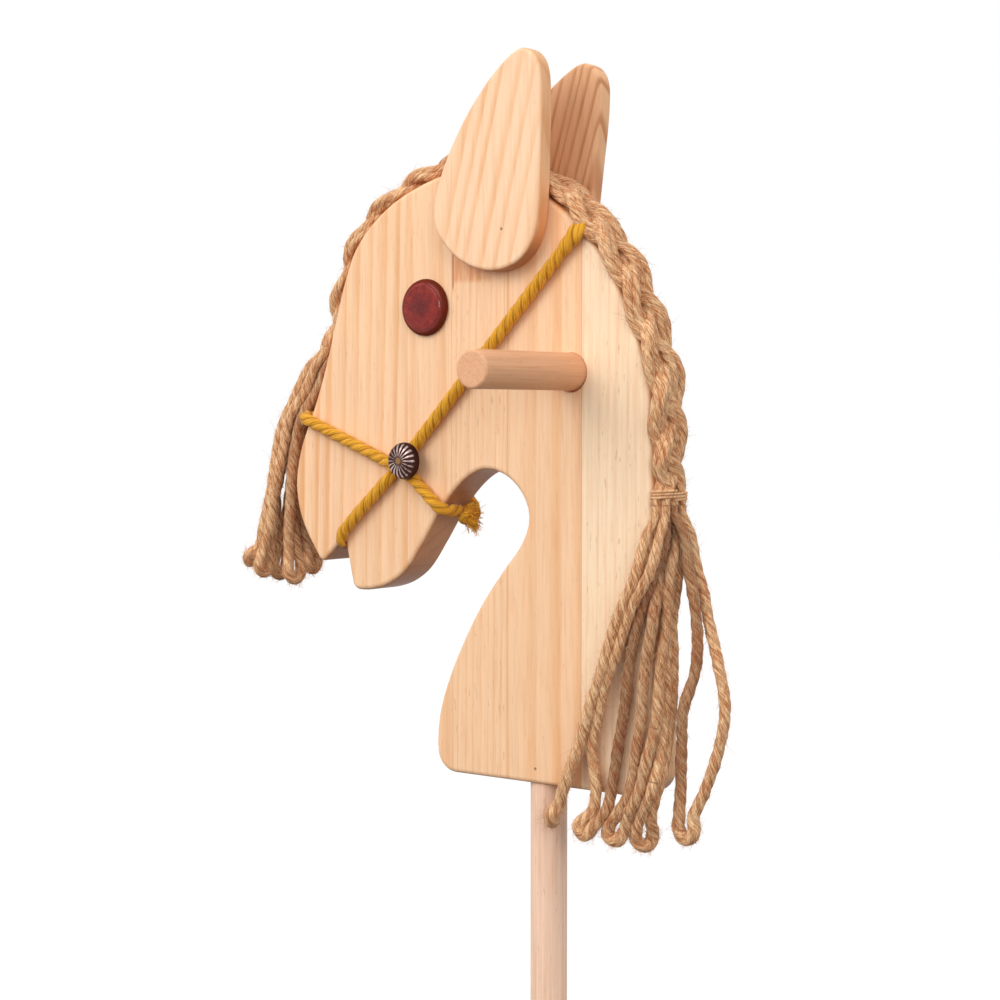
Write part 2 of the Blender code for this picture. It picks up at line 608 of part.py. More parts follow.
def make_headstall(outline):
    """One cord through the mouth, up both cheeks and over the poll under the braid."""
    mouth, cheek = mouth_seat(), np.array(HEADSTALL_CHEEK)
    up, down = heading(HEADSTALL_TO_POLL), heading(HEADSTALL_TO_MOUTH)
    poll = edge_ahead(outline, cheek, up)
    low = cheek + down * (0.94 * np.linalg.norm(cheek - mouth) - 5 * MM)
    notch = [
        np.array((mouth[0], 0.0, mouth[1])),
        np.array((mouth[0], -HALF_BOARD * 0.6, mouth[1])),
        np.array((mouth[0] + 0.5 * MM, -HALF_BOARD - 1.3 * MM, mouth[1] + 1.0 * MM)),
    ]
    reach = BRIDLE_PINCH_REACH
    lower = [low] + [cheek + down * reach * share for share in (1.8, 1.3, 0.9, 0.5, 0.1)]
    upper = [cheek + up * reach * share for share in (0.4, 0.9, 1.5)]
    upper += [(cheek + poll) / 2, poll - up * 14 * MM]
    over = round_edge(poll, up)
    top = np.array((over[-1][0], -GAP, over[-1][2]))
    left = notch[1:] + on_cheek(lower + upper) + over + [top]
    route = mirrored(left)[::-1] + [notch[0]] + left
    points = flowing(route, steps_between(route))
    points, flatness = pressed(points, False)
    squeeze = np.clip((np.abs(points[:, 1]) - HALF_BOARD) / (BRIDLE_DIAMETER / 2), 0, 1)
    squeeze[points[:, 2] > cheek[1]] = 1.0
    radii = BRIDLE_DIAMETER / 2 * (BRIDLE_IN_MOUTH + (1 - BRIDLE_IN_MOUTH) * squeeze)
    mesh = tube_mesh("headstall_cord", points, radii, 10, flatness)
    return add_object("headstall_cord", mesh, YELLOW, head), points, poll


def make_noseband(outline):
    """A cord round the nose and jaw, over the headstall at both crossings, tied under the throat."""
    cheek = np.array(NOSEBAND_CHEEK)
    to_nose, to_throat = heading(NOSEBAND_TO_NOSE), heading(NOSEBAND_TO_THROAT)
    nose, throat = edge_ahead(outline, cheek, to_nose), edge_ahead(outline, cheek, to_throat)
    round_throat, round_nose = round_edge(throat, to_throat), round_edge(nose, to_nose)
    under = round_throat[-1]
    half_knot = KNOT_SIZE / 2 + GAP
    reach = BRIDLE_PINCH_REACH
    spots = [cheek + to_throat * reach * share for share in (1.1, 0.7, 0.35)]
    spots += [cheek + to_nose * reach * share for share in (0.12, 0.4, 0.7, 1.0, 1.5, 2.1)]
    spots += [cheek + (nose - cheek) * 0.62, nose - to_nose * 10 * MM]
    left = round_throat[::-1] + on_cheek(spots) + round_nose
    right = mirrored(left)[::-1]
    left_end = np.array((under[0], KNOT_Y - half_knot, under[2]))
    right_end = np.array((under[0], KNOT_Y + half_knot, under[2]))
    route = [left_end] + left + right[:-1] + [right_end]
    points = flowing(route, steps_between(route))
    points, flatness = pressed(points, True)
    mesh = tube_mesh("noseband_cord", points, [BRIDLE_DIAMETER / 2] * len(points), 10, flatness)
    cord = add_object("noseband_cord", mesh, YELLOW, head)
    sunk = throat + to_throat * (KNOT_SIZE / 2 + KNOT_BELOW_JAW)
    make_knot((sunk[0], KNOT_Y, sunk[1]), to_throat)
    return cord


def boxy(value, power):
    """A sine or cosine with its swells filled out, which makes a round section squarer."""
    return np.sign(value) * np.abs(value) ** power


def make_knot(centre, way):
    """The tied ends under the throat, as one rounded lump."""
    rounds = np.arange(14) * 2 * math.pi / 14
    across, deep = boxy(np.cos(rounds), KNOT_BOXINESS), boxy(np.sin(rounds), KNOT_BOXINESS)
    rings = []
    for up in np.radians((-80, -55, -30, 0, 30, 55, 80)):
        wide, high = boxy(np.cos(up), KNOT_BOXINESS), boxy(np.sin(up), KNOT_BOXINESS)
        ring = np.stack([wide * across, wide * deep, np.full(len(rounds), high)], 1)
        rings.append(KNOT_SIZE / 2 * ring)
    mesh = closed_mesh("noseband_knot", *stacked_rings(rings))
    tilt = math.atan2(way[0], way[1])
    return add_object("noseband_knot", mesh, YELLOW, head, centre, (0, tilt, 0))


def braid_sections(outline):
    """Where the braid lies: outline points and normals from above the nose to the tie, with ends."""
    normals = outward_normals(outline)
    x, z = outline.T
    front = next(i for i in range(len(outline)) if x[i] < 0 and z[i] >= BRAID_FRONT_Z)
    back = next(i for i in range(len(outline)) if x[i] > 0 and z[i] <= BRAID_BACK_Z)

    def at_height(i, height):
        share = (height - outline[i - 1, 1]) / (outline[i, 1] - outline[i - 1, 1])
        spot = outline[i - 1] + share * (outline[i] - outline[i - 1])
        return spot, unit(normals[i - 1] + share * (normals[i] - normals[i - 1]))

    start, start_out = at_height(front, BRAID_FRONT_Z)
    end, end_out = at_height(back, BRAID_BACK_Z)
    keep = [i for i in range(front, back)
            if min(np.linalg.norm(outline[i] - start), np.linalg.norm(outline[i] - end)) > 3 * MM]
    spots = np.vstack([start, outline[keep], end])
    outs = np.vstack([start_out, normals[keep], end_out])
    return spots, outs


def make_braid(outline, headstall_points, poll):
    """The braid along the edge of the head, as a plain band that narrows to its tied neck."""
    spots, outs = braid_sections(outline)
    run = np.linalg.norm(np.diff(spots, axis=0), axis=1)
    left = np.concatenate([np.cumsum(run[::-1])[::-1], [0.0]])
    neck = np.clip((left - NECK_LENGTH) / (2 * NECK_LENGTH), 0, 1)
    neck = neck * neck * (3 - 2 * neck)
    inner = GAP + (1 - neck) * (TWINE_DIAMETER + 2 * GAP)
    thick = NECK_THICKNESS + neck * (BRAID_THICKNESS - NECK_THICKNESS)
    wide = NECK_WIDTH + neck * (BRAID_WIDTH - NECK_WIDTH)
    around = np.arange(16) * 2 * math.pi / 16
    deep, across = boxy(np.cos(around), BRAID_BOXINESS), boxy(np.sin(around), BRAID_BOXINESS)
    rings = []
    for spot, out, i, t, w in zip(spots, outs, inner, thick, wide):
        flat = spot + (i + t / 2 * (1 + deep))[:, None] * out
        rings.append(np.stack([flat[:, 0], w / 2 * across, flat[:, 1]], 1))
    braid = add_object("mane_braid", closed_mesh("mane_braid", *stacked_rings(rings)), JUTE, head)
    over = [p for p in headstall_points if np.linalg.norm(p[[0, 2]] - poll) < GROOVE_REACH]
    left_half = sorted((p for p in over if p[1] < 0), key=lambda p: (p[1], p[0]))
    path = left_half + mirrored(left_half)[::-1]
    wide_tube = tube_mesh("cord_groove", path, [BRIDLE_DIAMETER / 2 + 1.5 * GAP] * len(path), 12)
    groove = add_object("cord_groove", wide_tube, None, head)
    groove.hide_render = True
    groove.display_type = "WIRE"
    cut(braid, groove)
    return spots, outs


def neck_centre(spot, out, tied):
    """The middle of an end of the braid. The tied end leaves room for the twine beside the board."""
    if tied:
        return spot + out * (GAP + TWINE_DIAMETER + 2 * GAP + NECK_THICKNESS / 2)
    return spot + out * (GAP + BRAID_THICKNESS / 2)


def make_tie(centre):
    """Twine wound round the neck of the braid: one unbroken helix."""
    steps = 24
    r = TWINE_DIAMETER / 2
    half_x, half_y = NECK_THICKNESS / 2 + 2 * GAP + r, NECK_WIDTH / 2 + 2 * GAP + r
    turn = np.arange(TWINE_TURNS * steps + 1) / steps
    x = centre[0] + half_x * boxy(np.cos(turn * 2 * math.pi), TWINE_BOXINESS)
    y = half_y * boxy(np.sin(turn * 2 * math.pi), TWINE_BOXINESS)
    z = centre[1] + TWINE_ABOVE_END + TWINE_PITCH * turn
    points = np.stack([x, y, z], 1)
    own_gap = min(
        float(np.linalg.norm(points[i] - points[j])) for i in range(len(points))
        for j in range(i + steps // 2, len(points))
    ) - 2 * r
    print(f"least gap of the twine to itself: {own_gap / MM:.2f} mm")
    add_object("mane_tie", tube_mesh("mane_tie", points, [r] * len(points), 6), TWINE, head)


def loop_points(start_a, start_b, leaving, heights, run_a, run_b, low, origin):
    """Down one run, round the low point and up the other, as points of one smooth rope."""
    down = [np.array(origin) + np.array((x, y, z)) * MM for (x, y), z in zip(run_a, heights)]
    up = [np.array(origin) + np.array((x, y, z)) * MM for (x, y), z in zip(run_b, heights)]
    low = np.array(origin) + np.array(low) * MM
    across = down[-1] - up[-1]
    across[2] = 0
    bulge = unit(across) * 0.8 * ROPE_DIAMETER
    lift = np.array((0, 0, 0.75 * ROPE_DIAMETER))
    turn = [low + lift + bulge, low, low + lift - bulge]
    lead = leaving * ROPE_TIED_DIAMETER
    route = [start_a, start_a + lead] + down + turn + up[::-1] + [start_b + lead, start_b]
    n = len(down)
    counts = [1, 1] + [2] * (n - 1) + [2, 2, 2, 2] + [2] * (n - 1) + [1, 1]
    return flowing(route, counts)


def rope_radii(points, start_a, start_b):
    """Thin where the braid or the tie holds the rope, and full further down."""
    full, tied = ROPE_DIAMETER / 2, ROPE_TIED_DIAMETER / 2
    away = np.minimum(np.linalg.norm(points - start_a, axis=1), np.linalg.norm(points - start_b, axis=1))
    return tied + (full - tied) * np.clip(away / ROPE_FULL_REACH, 0, 1)


def make_tassel(name, spot, out, tied, packing, heights, runs, low_points, origin):
    """Five loops of rope that hang from an end of the braid and swing together about its outer edge."""
    centre = neck_centre(spot, out, tied)
    along = np.array((-out[1], out[0])) if out[0] < 0 else np.array((out[1], -out[0]))
    pitch = (NECK_WIDTH - 2 * ROPE_TIED_DIAMETER) / 3
    thickness = NECK_THICKNESS if tied else BRAID_THICKNESS
    column = (thickness - ROPE_TIED_DIAMETER) / 2
    leave = centre + along * GAP
    starts = {
        key: np.array((leave[0] + out[0] * u * column, v * pitch, leave[1] + out[1] * u * column))
        for key, (u, v) in packing.items()
    }
    edge = centre + out * (column + ROPE_TIED_DIAMETER / 2)
    pivot = add_object(name + "_swing", None, None, head, (edge[0], 0, edge[1]))
    for number, low in enumerate(low_points, 1):
        a, b = starts[f"{number}a"], starts[f"{number}b"]
        leaving = np.array((along[0], 0.0, along[1]))
        run_a, run_b = runs[f"{number}a"], runs[f"{number}b"]
        points = loop_points(a, b, leaving, heights, run_a, run_b, low, origin)
        curve = rope_curve(f"{name}_loop_{number}", points, rope_radii(points, a, b))
        add_object(f"{name}_loop_{number}", curve, JUTE, pivot, tuple(-pivot.location))
    world = (edge[0], 0.0, edge[1] + POLE_SHOWING)
    print(name, "swings about", [round(float(v), 5) for v in world])


outline = closed_outline(HEAD_OUTLINE, OUTLINE_STEP)
ear_outline = closed_outline(EAR_OUTLINE, EAR_OUTLINE_STEP)
board = make_board(outline)
pole = make_pole()
make_handle()
make_pole_pin(board, pole)
for side_name in SIDES:
    make_ear(side_name, ear_outline, board)
    make_eye(side_name, board)
headstall, headstall_points, poll = make_headstall(outline)
noseband = make_noseband(outline)
for side_name in SIDES:
    make_rosette(side_name, board, (headstall, noseband))
spots, outs = make_braid(outline, headstall_points, poll)
make_tie(neck_centre(spots[-1], outs[-1], True))
make_tassel(
    "mane", spots[-1], outs[-1], True, MANE_PACKING, MANE_HEIGHTS, MANE_RUNS, MANE_LOW_POINTS,
    (0, -HALF_BOARD, 0))
make_tassel(
    "forelock", spots[0], outs[0], False, FORELOCK_PACKING, FORELOCK_HEIGHTS, FORELOCK_RUNS,
    FORELOCK_LOW_POINTS, (-BRIDLE_DIAMETER, 0, 0))
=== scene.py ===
import math

import bmesh
import bpy
import numpy as np
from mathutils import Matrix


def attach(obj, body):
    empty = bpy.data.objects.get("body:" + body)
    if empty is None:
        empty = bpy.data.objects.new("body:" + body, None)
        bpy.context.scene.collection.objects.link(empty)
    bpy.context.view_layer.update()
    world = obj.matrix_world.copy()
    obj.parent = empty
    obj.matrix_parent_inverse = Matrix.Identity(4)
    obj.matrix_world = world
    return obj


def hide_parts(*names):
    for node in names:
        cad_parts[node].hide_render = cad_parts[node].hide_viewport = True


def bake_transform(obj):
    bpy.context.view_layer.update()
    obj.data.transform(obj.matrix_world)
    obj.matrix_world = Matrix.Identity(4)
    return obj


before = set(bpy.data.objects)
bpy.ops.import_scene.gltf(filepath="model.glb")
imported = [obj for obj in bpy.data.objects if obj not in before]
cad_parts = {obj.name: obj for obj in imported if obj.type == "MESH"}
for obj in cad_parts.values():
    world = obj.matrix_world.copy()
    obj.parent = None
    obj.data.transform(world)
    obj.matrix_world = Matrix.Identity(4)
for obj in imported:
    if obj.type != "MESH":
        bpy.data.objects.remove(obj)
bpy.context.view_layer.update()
MM = 0.001
scene = bpy.context.scene
scene.view_settings.view_transform = "Standard"


def add(name, data):
    """A new object in the scene."""
    obj = bpy.data.objects.new(name, data)
    scene.collection.objects.link(obj)
    return obj


# The photographer's table. The camera stands 1.2 m away, 37 degrees round to the horse's left and
# level with the jaw. One large soft lamp stands in front, a little to the left and above, and the
# pale walls of the room fill the rest from above more than from below.
CAMERA_PLACE = (0.69286, -0.96826, 0.72418)
CAMERA_TURN, CAMERA_DIP = 37.0, 2.5
camera = add("camera", bpy.data.cameras.new("camera"))
camera.data.lens, camera.data.sensor_width = 72.0, 36.0
camera.data.clip_start = 0.05
camera.location = CAMERA_PLACE
camera.rotation_euler = (math.radians(90 - CAMERA_DIP), 0, math.radians(CAMERA_TURN))
scene.camera = camera

LIT_HEIGHT, LAMP_COLOUR = 0.72, (1.0, 0.985, 0.96)
# Each lamp: the way to it from the head, how far off it is, its width, its height and its power.
LAMPS = {
    "soft_lamp": ((-0.30, -0.86, 0.50), 1.35, 0.85, 0.85, 6.1),
    "side_lamp": ((0.76, -0.60, 0.24), 2.4, 0.45, 1.17, 7.0),
}
for name, (way, distance, width, height, power) in LAMPS.items():
    lamp = add(name, bpy.data.lights.new(name, "AREA"))
    lamp.data.shape, lamp.data.size, lamp.data.size_y = "ELLIPSE", width, height
    lamp.data.energy, lamp.data.color = power, LAMP_COLOUR
    way = np.array(way) / np.linalg.norm(way)
    lamp.location = way * distance + (0, 0, LIT_HEIGHT)
    lamp.rotation_euler = (math.acos(way[2]), 0, math.atan2(way[0], -way[1]))


class Value:
    """A number, colour or vector that a material works out. The signs + - * / and abs on a number add
    the node for that sum."""

    def __init__(self, socket):
        self.socket = socket

    def math(self, operation, *others):
        return value(self.socket.id_data, "Math", dict(enumerate((self, *others))), operation=operation)

    def __add__(self, other):
        return self.math("ADD", other)

    def __sub__(self, other):
        return self.math("SUBTRACT", other)

    def __mul__(self, other):
        return self.math("MULTIPLY", other)

    def __truediv__(self, other):
        return self.math("DIVIDE", other)

    def __abs__(self):
        return self.math("ABSOLUTE")


def feed(entry, given):
    """Joins a node's input to a worked-out value, or sets it to a plain one."""
    if isinstance(given, Value):
        entry.id_data.links.new(given.socket, entry)
    else:
        entry.default_value = given


def put(tree, kind, inputs=None, **settings):
    """Adds a node with its settings, and feeds its inputs."""
    node = tree.nodes.new("ShaderNode" + kind)
    for key, setting in settings.items():
        setattr(node, key, setting)
    for key, given in (inputs or {}).items():
        feed(node.inputs[key], given)
    return node


def value(tree, kind, inputs=None, output=0, **settings):
    """The value at an output of a new node."""
    return Value(put(tree, kind, inputs, **settings).outputs[output])


def object_place(tree):
    """Where a point is, in metres."""
    return value(tree, "TexCoord", output="Object")


def attribute(tree, name):
    """A number that a mesh keeps at each point."""
    return value(tree, "Attribute", output="Fac", attribute_name=name)


def axes(vector):
    """The three numbers of a vector."""
    return [Value(part) for part in put(vector.socket.id_data, "SeparateXYZ", {0: vector}).outputs]


def seen_directly(tree):
    """1 for what the camera, a mirror or a clear surface sees, 0 for light that falls on things."""
    camera_ray, mirrored_ray, clear_ray = (
        value(tree, "LightPath", output=f"Is {kind} Ray") for kind in ("Camera", "Glossy", "Transmission"))
    return camera_ray.math("MAXIMUM", mirrored_ray).math("MAXIMUM", clear_ray)


ROOM_LEVEL, ROOM_TO_FRONT, ROOM_TO_LEFT, ROOM_TO_TOP = 0.90, 0.30, -0.05, 0.04
WALL_COLOUR, WHITE = (1.0, 0.99, 0.975, 1.0), (1.0, 1.0, 1.0, 1.0)
room = bpy.data.worlds.new("room")
scene.world = room
room.use_nodes = True
tree = room.node_tree
tree.nodes.clear()
side, front, up = axes(value(tree, "TexCoord", output="Generated"))
level = side * -ROOM_TO_LEFT + ROOM_LEVEL + front * -ROOM_TO_FRONT + up * ROOM_TO_TOP
walls = value(tree, "Background", {0: WALL_COLOUR, 1: level})
white = value(tree, "Background", {0: WHITE, 1: 1.0})
put(tree, "OutputWorld", {0: value(tree, "MixShader", {0: seen_directly(tree), 1: walls, 2: white})})

FLOOR_REACH, FLOOR_DROP, FLOOR_GREY, FLOOR_GLOW = 8.0, 0.5 * MM, 0.12, 0.93
floor_mesh = bpy.data.meshes.new("floor")
corners = [(x * FLOOR_REACH, y * FLOOR_REACH, -FLOOR_DROP) for x, y in ((-1, -1), (1, -1), (1, 1), (-1, 1))]
floor_mesh.from_pydata(corners, [], [(0, 1, 2, 3)])
floor = add("floor", floor_mesh)
paper = bpy.data.materials.new("pale_paper")
paper.use_nodes = True
tree = paper.node_tree
tree.nodes.clear()
grey = value(tree, "BsdfDiffuse", {0: (FLOOR_GREY, FLOOR_GREY, FLOOR_GREY, 1.0)})
glow = value(tree, "Emission", {0: WHITE, 1: seen_directly(tree) * FLOOR_GLOW})
put(tree, "OutputMaterial", {0: value(tree, "AddShader", {0: grey, 1: glow})})
floor_mesh.materials.append(paper)

# The head: one board, 28 mm thick, of five pine staves glued edge to edge, sawn to the outline of a
# horse's head and rounded over along its edges. It has a hole for the handle and a mouth notch.
BOARD_THICKNESS = 28.0 * MM
BOARD_ROUNDING = 3.0 * MM
HALF_BOARD = BOARD_THICKNESS / 2
BOARD_FOOT = 504.0 * MM
SEAT_GAP = 0.3 * MM
SIDES = {"left": -1, "right": 1}
UPPER_LIP = (-170.0, 123.5, 4.0)
CHIN = (-143.0, 108.0, 6.0)
MOUTH_CORNER = (-150.5, 140.5, 1.5)
HEAD_OUTLINE = (
    UPPER_LIP,
    (-183.0, 142.5), (-190.0, 158.0), (-192.3, 177.0), (-187.5, 199.0), (-178.0, 220.0),
    (-167.5, 247.0), (-159.0, 275.0), (-150.5, 302.0), (-139.5, 325.0), (-117.5, 345.5),
    (-91.0, 358.5), (-62.0, 365.5), (-30.0, 362.5), (-8.0, 354.0), (11.5, 343.0), (27.5, 331.0),
    (48.5, 307.0), (58.0, 291.0), (69.5, 265.0), (77.5, 240.5), (80.3, 215.0), (81.0, 175.0),
    (81.5, 100.0),
    (82.0, 0.0, 14.0),
    (-76.0, 0.0, 14.0),
    (-74.0, 33.0), (-66.5, 57.0), (-55.0, 81.0), (-41.0, 104.5), (-25.0, 125.5), (-11.5, 142.0),
    (-6.0, 157.0), (-10.0, 170.5), (-22.0, 182.0), (-37.0, 186.0), (-49.0, 182.5), (-62.0, 172.5),
    (-75.0, 157.0), (-87.0, 139.5), (-100.0, 122.5), (-113.0, 113.5), (-128.0, 109.0),
    CHIN,
    MOUTH_CORNER,
)
HANDLE_DIAMETER = 22.0 * MM
HANDLE_X, HANDLE_Z = 25.0 * MM, 748.0 * MM
HANDLE_HOLE_DIAMETER = 23.4 * MM
HANDLE_HOLE_DROP = 0.5 * MM


def unit(v):
    """Vectors made one long."""
    v = np.asarray(v, float)
    return v / np.linalg.norm(v, axis=-1, keepdims=True)


def eased(share):
    """A share from 0 to 1 as a smooth step."""
    return share * share * (3 - 2 * share)


def round_angles(count):
    """Angles evenly round a ring."""
    return np.linspace(0, 2 * math.pi, count, endpoint=False)


def span(a, b, out_of_a, into_b, count):
    """A cubic from a to b, without b: its handles are a third of the chord long."""
    third = np.linalg.norm(b - a) / 3
    t = (np.arange(count) / count)[:, None]
    c, d = a + out_of_a * third, b - into_b * third
    return (1 - t) ** 3 * a + 3 * (1 - t) ** 2 * t * c + 3 * (1 - t) * t ** 2 * d + t ** 3 * b


def sawn_outline(entries, step):
    """A closed line of points in X and Z about a step apart: cubics through the entries, each along
    the line between its neighbours, and an arc of the third number's radius at each corner."""
    spots = [np.array(e[:2]) * MM for e in entries]
    radii = [e[2] * MM if len(e) == 3 else None for e in entries]
    total = len(spots)

    def way_at(i, leaving):
        before, here, after = spots[i - 1], spots[i], spots[(i + 1) % total]
        if radii[i] is None:
            return unit(after - before)
        return unit(after - here) if leaving else unit(here - before)

    points = []
    for i in range(total):
        nxt = (i + 1) % total
        count = max(3, round(float(np.linalg.norm(spots[nxt] - spots[i])) / step))
        points += list(span(spots[i], spots[nxt], way_at(i, True), way_at(nxt, False), count))
    for i in (i for i in range(total) if radii[i] is not None):
        way_in, way_out = way_at(i, False), way_at(i, True)
        turn = math.acos(float(way_in @ way_out))
        reach = radii[i] * math.tan(turn / 2)
        middle = spots[i] + unit(way_out - way_in) * radii[i] / math.cos(turn / 2)
        start, end = spots[i] - way_in * reach - middle, spots[i] + way_out * reach - middle
        share = np.linspace(0, 1, 13)[:, None]
        arc = middle + (np.sin((1 - share) * turn) * start + np.sin(share * turn) * end) / math.sin(turn)
        near = [k for k, p in enumerate(points) if np.linalg.norm(p - spots[i]) < reach + step / 4]
        first = near[0] if 0 not in near else next(k for k in reversed(near) if k - 1 not in near)
        points = points[first:] + points[:first]
        points = list(arc) + points[len(near):]
    return np.array(points)


def outward(outline):
    """Unit normals of a closed outline that point out of it."""
    along = np.roll(outline, -1, 0) - np.roll(outline, 1, 0)
    normals = unit(np.stack([along[:, 1], -along[:, 0]], 1))
    x, z = outline.T
    return normals * np.sign(np.sum(x * np.roll(z, -1) - np.roll(x, -1) * z))


def ring_quads(rows, columns):
    """The quads that join each ring of a grid of points to the next."""
    r, c = np.meshgrid(np.arange(rows - 1), np.arange(columns), indexing="ij")
    here, beside = r * columns + c, r * columns + (c + 1) % columns
    return np.stack([here, beside, beside + columns, here + columns], -1).reshape(-1, 4)


def new_mesh(name, points, faces, uv, **values):
    """A mesh with a UV map. Each named array of values becomes a point attribute."""
    mesh = bpy.data.meshes.new(name)
    mesh.from_pydata(points.reshape(-1, 3), [], faces)
    mesh.uv_layers.new(name="UVMap").data.foreach_set("uv", uv.astype(np.float32).ravel())
    for key, array in values.items():
        entries = mesh.attributes.new(key, "FLOAT", "POINT").data
        entries.foreach_set("value", array.astype(np.float32).ravel())
    return mesh


def skin(name, grid, along=None, **values):
    """A closed mesh on a grid of points, rows by columns: each row is a ring, rings are joined by
    quads, and the end rings are filled flat. The UV map runs along the rows and once round each
    ring, and the named values are spread over the points."""
    rows, columns = grid.shape[:2]
    p = grid - grid.reshape(-1, 3).mean(0)
    q = np.roll(p, -1, 1)
    volume = np.sum(p[:-1] * np.cross(q[:-1], q[1:])) + np.sum(p[:-1] * np.cross(q[1:], p[1:]))
    if volume < 0:
        grid = grid[:, ::-1]
        values = {key: array[:, ::-1] for key, array in values.items()}
    values = {key: np.broadcast_to(array, (rows, columns)) for key, array in values.items()}
    quads = ring_quads(rows, columns)
    ends = [list(range(columns))[::-1], list(range((rows - 1) * columns, rows * columns))]
    u = np.arange(rows, dtype=float) if along is None else np.asarray(along, float)
    uv = np.zeros((len(quads) * 4 + 2 * columns, 2))
    turns = (quads[:, :1] % columns + (0, 1, 1, 0)) / columns
    uv[:len(quads) * 4] = np.stack([u[quads // columns], turns], -1).reshape(-1, 2)
    mesh = new_mesh(name, grid, quads.tolist() + ends, uv, **values)
    smooth = np.ones(len(mesh.polygons), bool)
    smooth[-2:] = False
    mesh.polygons.foreach_set("use_smooth", smooth)
    return mesh


def plank_rings(outline, thickness, rounding, middle_y=0.0, foot=0.0, steps=8):
    """Rings of a board's edge: the outline, drawn in by r·(1 − sin a) where the edge is rounded, at
    the depth t/2 − r·(1 − cos a), for a from 0 at the face to 90 degrees, then the same back."""
    normals = outward(outline)
    rings = []
    for side in (-1, 1):
        for a in np.linspace(0, math.pi / 2, steps)[::-side]:
            flat = outline - normals * rounding * (1 - math.sin(a))
            y = middle_y + side * (thickness / 2 - rounding * (1 - math.cos(a)))
            rings.append(np.stack([flat[:, 0], np.full(len(flat), y), flat[:, 1] + foot], 1))
    return np.array(rings)


def piece(mesh, materials, slot, *nodes, body="horse"):
    """A finished piece in the scene, named as its mesh. It stands for the CAD nodes named, and rides
    on the body named. A rope that crosses a hinge gives both bodies and the points between which it
    bends instead; such a piece rides on no body, and the bodies and points are not used."""
    obj = add(mesh.name, mesh)
    for material in materials:
        mesh.materials.append(material)
    if isinstance(body, str):
        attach(obj, body)
    else:
        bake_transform(obj)
    if nodes:
        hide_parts(*nodes)
    return obj


def paint(red, green, blue):
    """A colour as a screen shows it, 0 to 255, turned to the light that it stands for."""
    level = np.array((red, green, blue)) / 255
    light = np.where(level > 0.04045, ((level + 0.055) / 1.055) ** 2.4, level / 12.92)
    return (*(float(v) for v in light), 1.0)


def surface(name):
    """A new material and its node tree."""
    material = bpy.data.materials.new(name)
    material.use_nodes = True
    return material, material.node_tree


def look(material, **inputs):
    """Feeds the Principled shader's inputs, which are named with underscores for spaces."""
    shader = material.node_tree.nodes["Principled BSDF"]
    for key, given in inputs.items():
        feed(shader.inputs[key.replace("_", " ")], given)


def relief(tree, height, strength, distance):
    """The normal of a surface that stands up where height is more."""
    return value(tree, "Bump", {"Strength": strength, "Distance": distance, "Height": height})


def group(name, inputs, outputs):
    """A node group: its tree, its named inputs, each with its default, and its named outputs."""
    tree = bpy.data.node_groups.new(name, "ShaderNodeTree")
    for key, default in inputs.items():
        kind = {float: "NodeSocketFloat", tuple: "NodeSocketColor", list: "NodeSocketVector"}[type(default)]
        tree.interface.new_socket(key, in_out="INPUT", socket_type=kind).default_value = default
    for key, kind in outputs.items():
        tree.interface.new_socket(key, in_out="OUTPUT", socket_type="NodeSocket" + kind)
    given = tree.nodes.new("NodeGroupInput").outputs
    return tree, {key: Value(given[key]) for key in inputs}, tree.nodes.new("NodeGroupOutput").inputs


def tint(share, first, second, blend="MIX"):
    """Two colours mixed or multiplied by a share."""
    tree = next(given.socket.id_data for given in (share, first, second) if isinstance(given, Value))
    return value(tree, "Mix", {0: share, 6: first, 7: second}, 2, data_type="RGBA", blend_type=blend)


def speckle(place, stretch, detail=2.0, rough=0.5):
    """Noise whose grains are 1 / stretch metres long on each axis."""
    tree = place.socket.id_data
    moved = value(tree, "VectorMath", {0: place, 1: stretch}, operation="MULTIPLY")
    return value(tree, "TexNoise", {"Vector": moved, "Scale": 1.0, "Detail": detail, "Roughness": rough})


def fade(number, low, high, start=0.0, end=1.0):
    """A number from low to high becomes a smooth step from start to end."""
    inputs = dict(enumerate((number, low, high, start, end)))
    return value(number.socket.id_data, "MapRange", inputs, interpolation_type="SMOOTHSTEP")


# Sawn wood for every wooden piece: year rings round the pith of the tree, each darker towards its
# late side, with fine fibres and short resin flecks along the grain, which runs along Z. On a plate
# the sawn edges are warmer than the faces, and painted shade darkens them where they face down.

# Where the tree's pith was, in metres, how wide and dark its rings are, and how even and fibrous.
GROWTH = ("Pith X", "Pith Y", "Ring Width", "Ring Depth", "Late Share", "Unevenness", "Wander", "Lean",
          "Fibre", "Flecks")
wood_tree, given, result = group(
    "sawn_wood",
    {"Place": [0.0, 0.0, 0.0], "Facing": [0.0, 0.0, 0.0], "Plate": 0.0,
     **dict.fromkeys(GROWTH, 0.0), "Patch": 0.0, "Mottle": 0.6,
     "Early": (0.95, 0.68, 0.4, 1.0), "Late": (0.8, 0.45, 0.2, 1.0),
     "Fleck Colour": (0.35, 0.15, 0.06, 1.0), "Edge Tint": (0.95, 0.79, 0.63, 1.0),
     "Underside Shade Tint": (0.50, 0.43, 0.42, 1.0), "Mottle Tint": (0.93, 0.83, 0.76, 1.0),
     "Patch Tint": (0.84, 0.60, 0.46, 1.0)},
    {"Colour": "Color", "Roughness": "Float", "Height": "Float"})
place = given["Place"]
x, y, z = axes(place)
wander = (speckle(place, (9.0, 9.0, 3.5), 1.0) - 0.5) * given["Wander"]
from_pith = {0: x - z * given["Lean"] + wander - given["Pith X"], 1: y - given["Pith Y"]}
from_pith = value(wood_tree, "CombineXYZ", from_pith)
rings = value(wood_tree, "VectorMath", {0: from_pith}, "Value", operation="LENGTH") / given["Ring Width"]
uneven = value(wood_tree, "TexNoise", {"W": rings * 0.6, "Scale": 1.0, "Detail": 1.0}, noise_dimensions="1D")
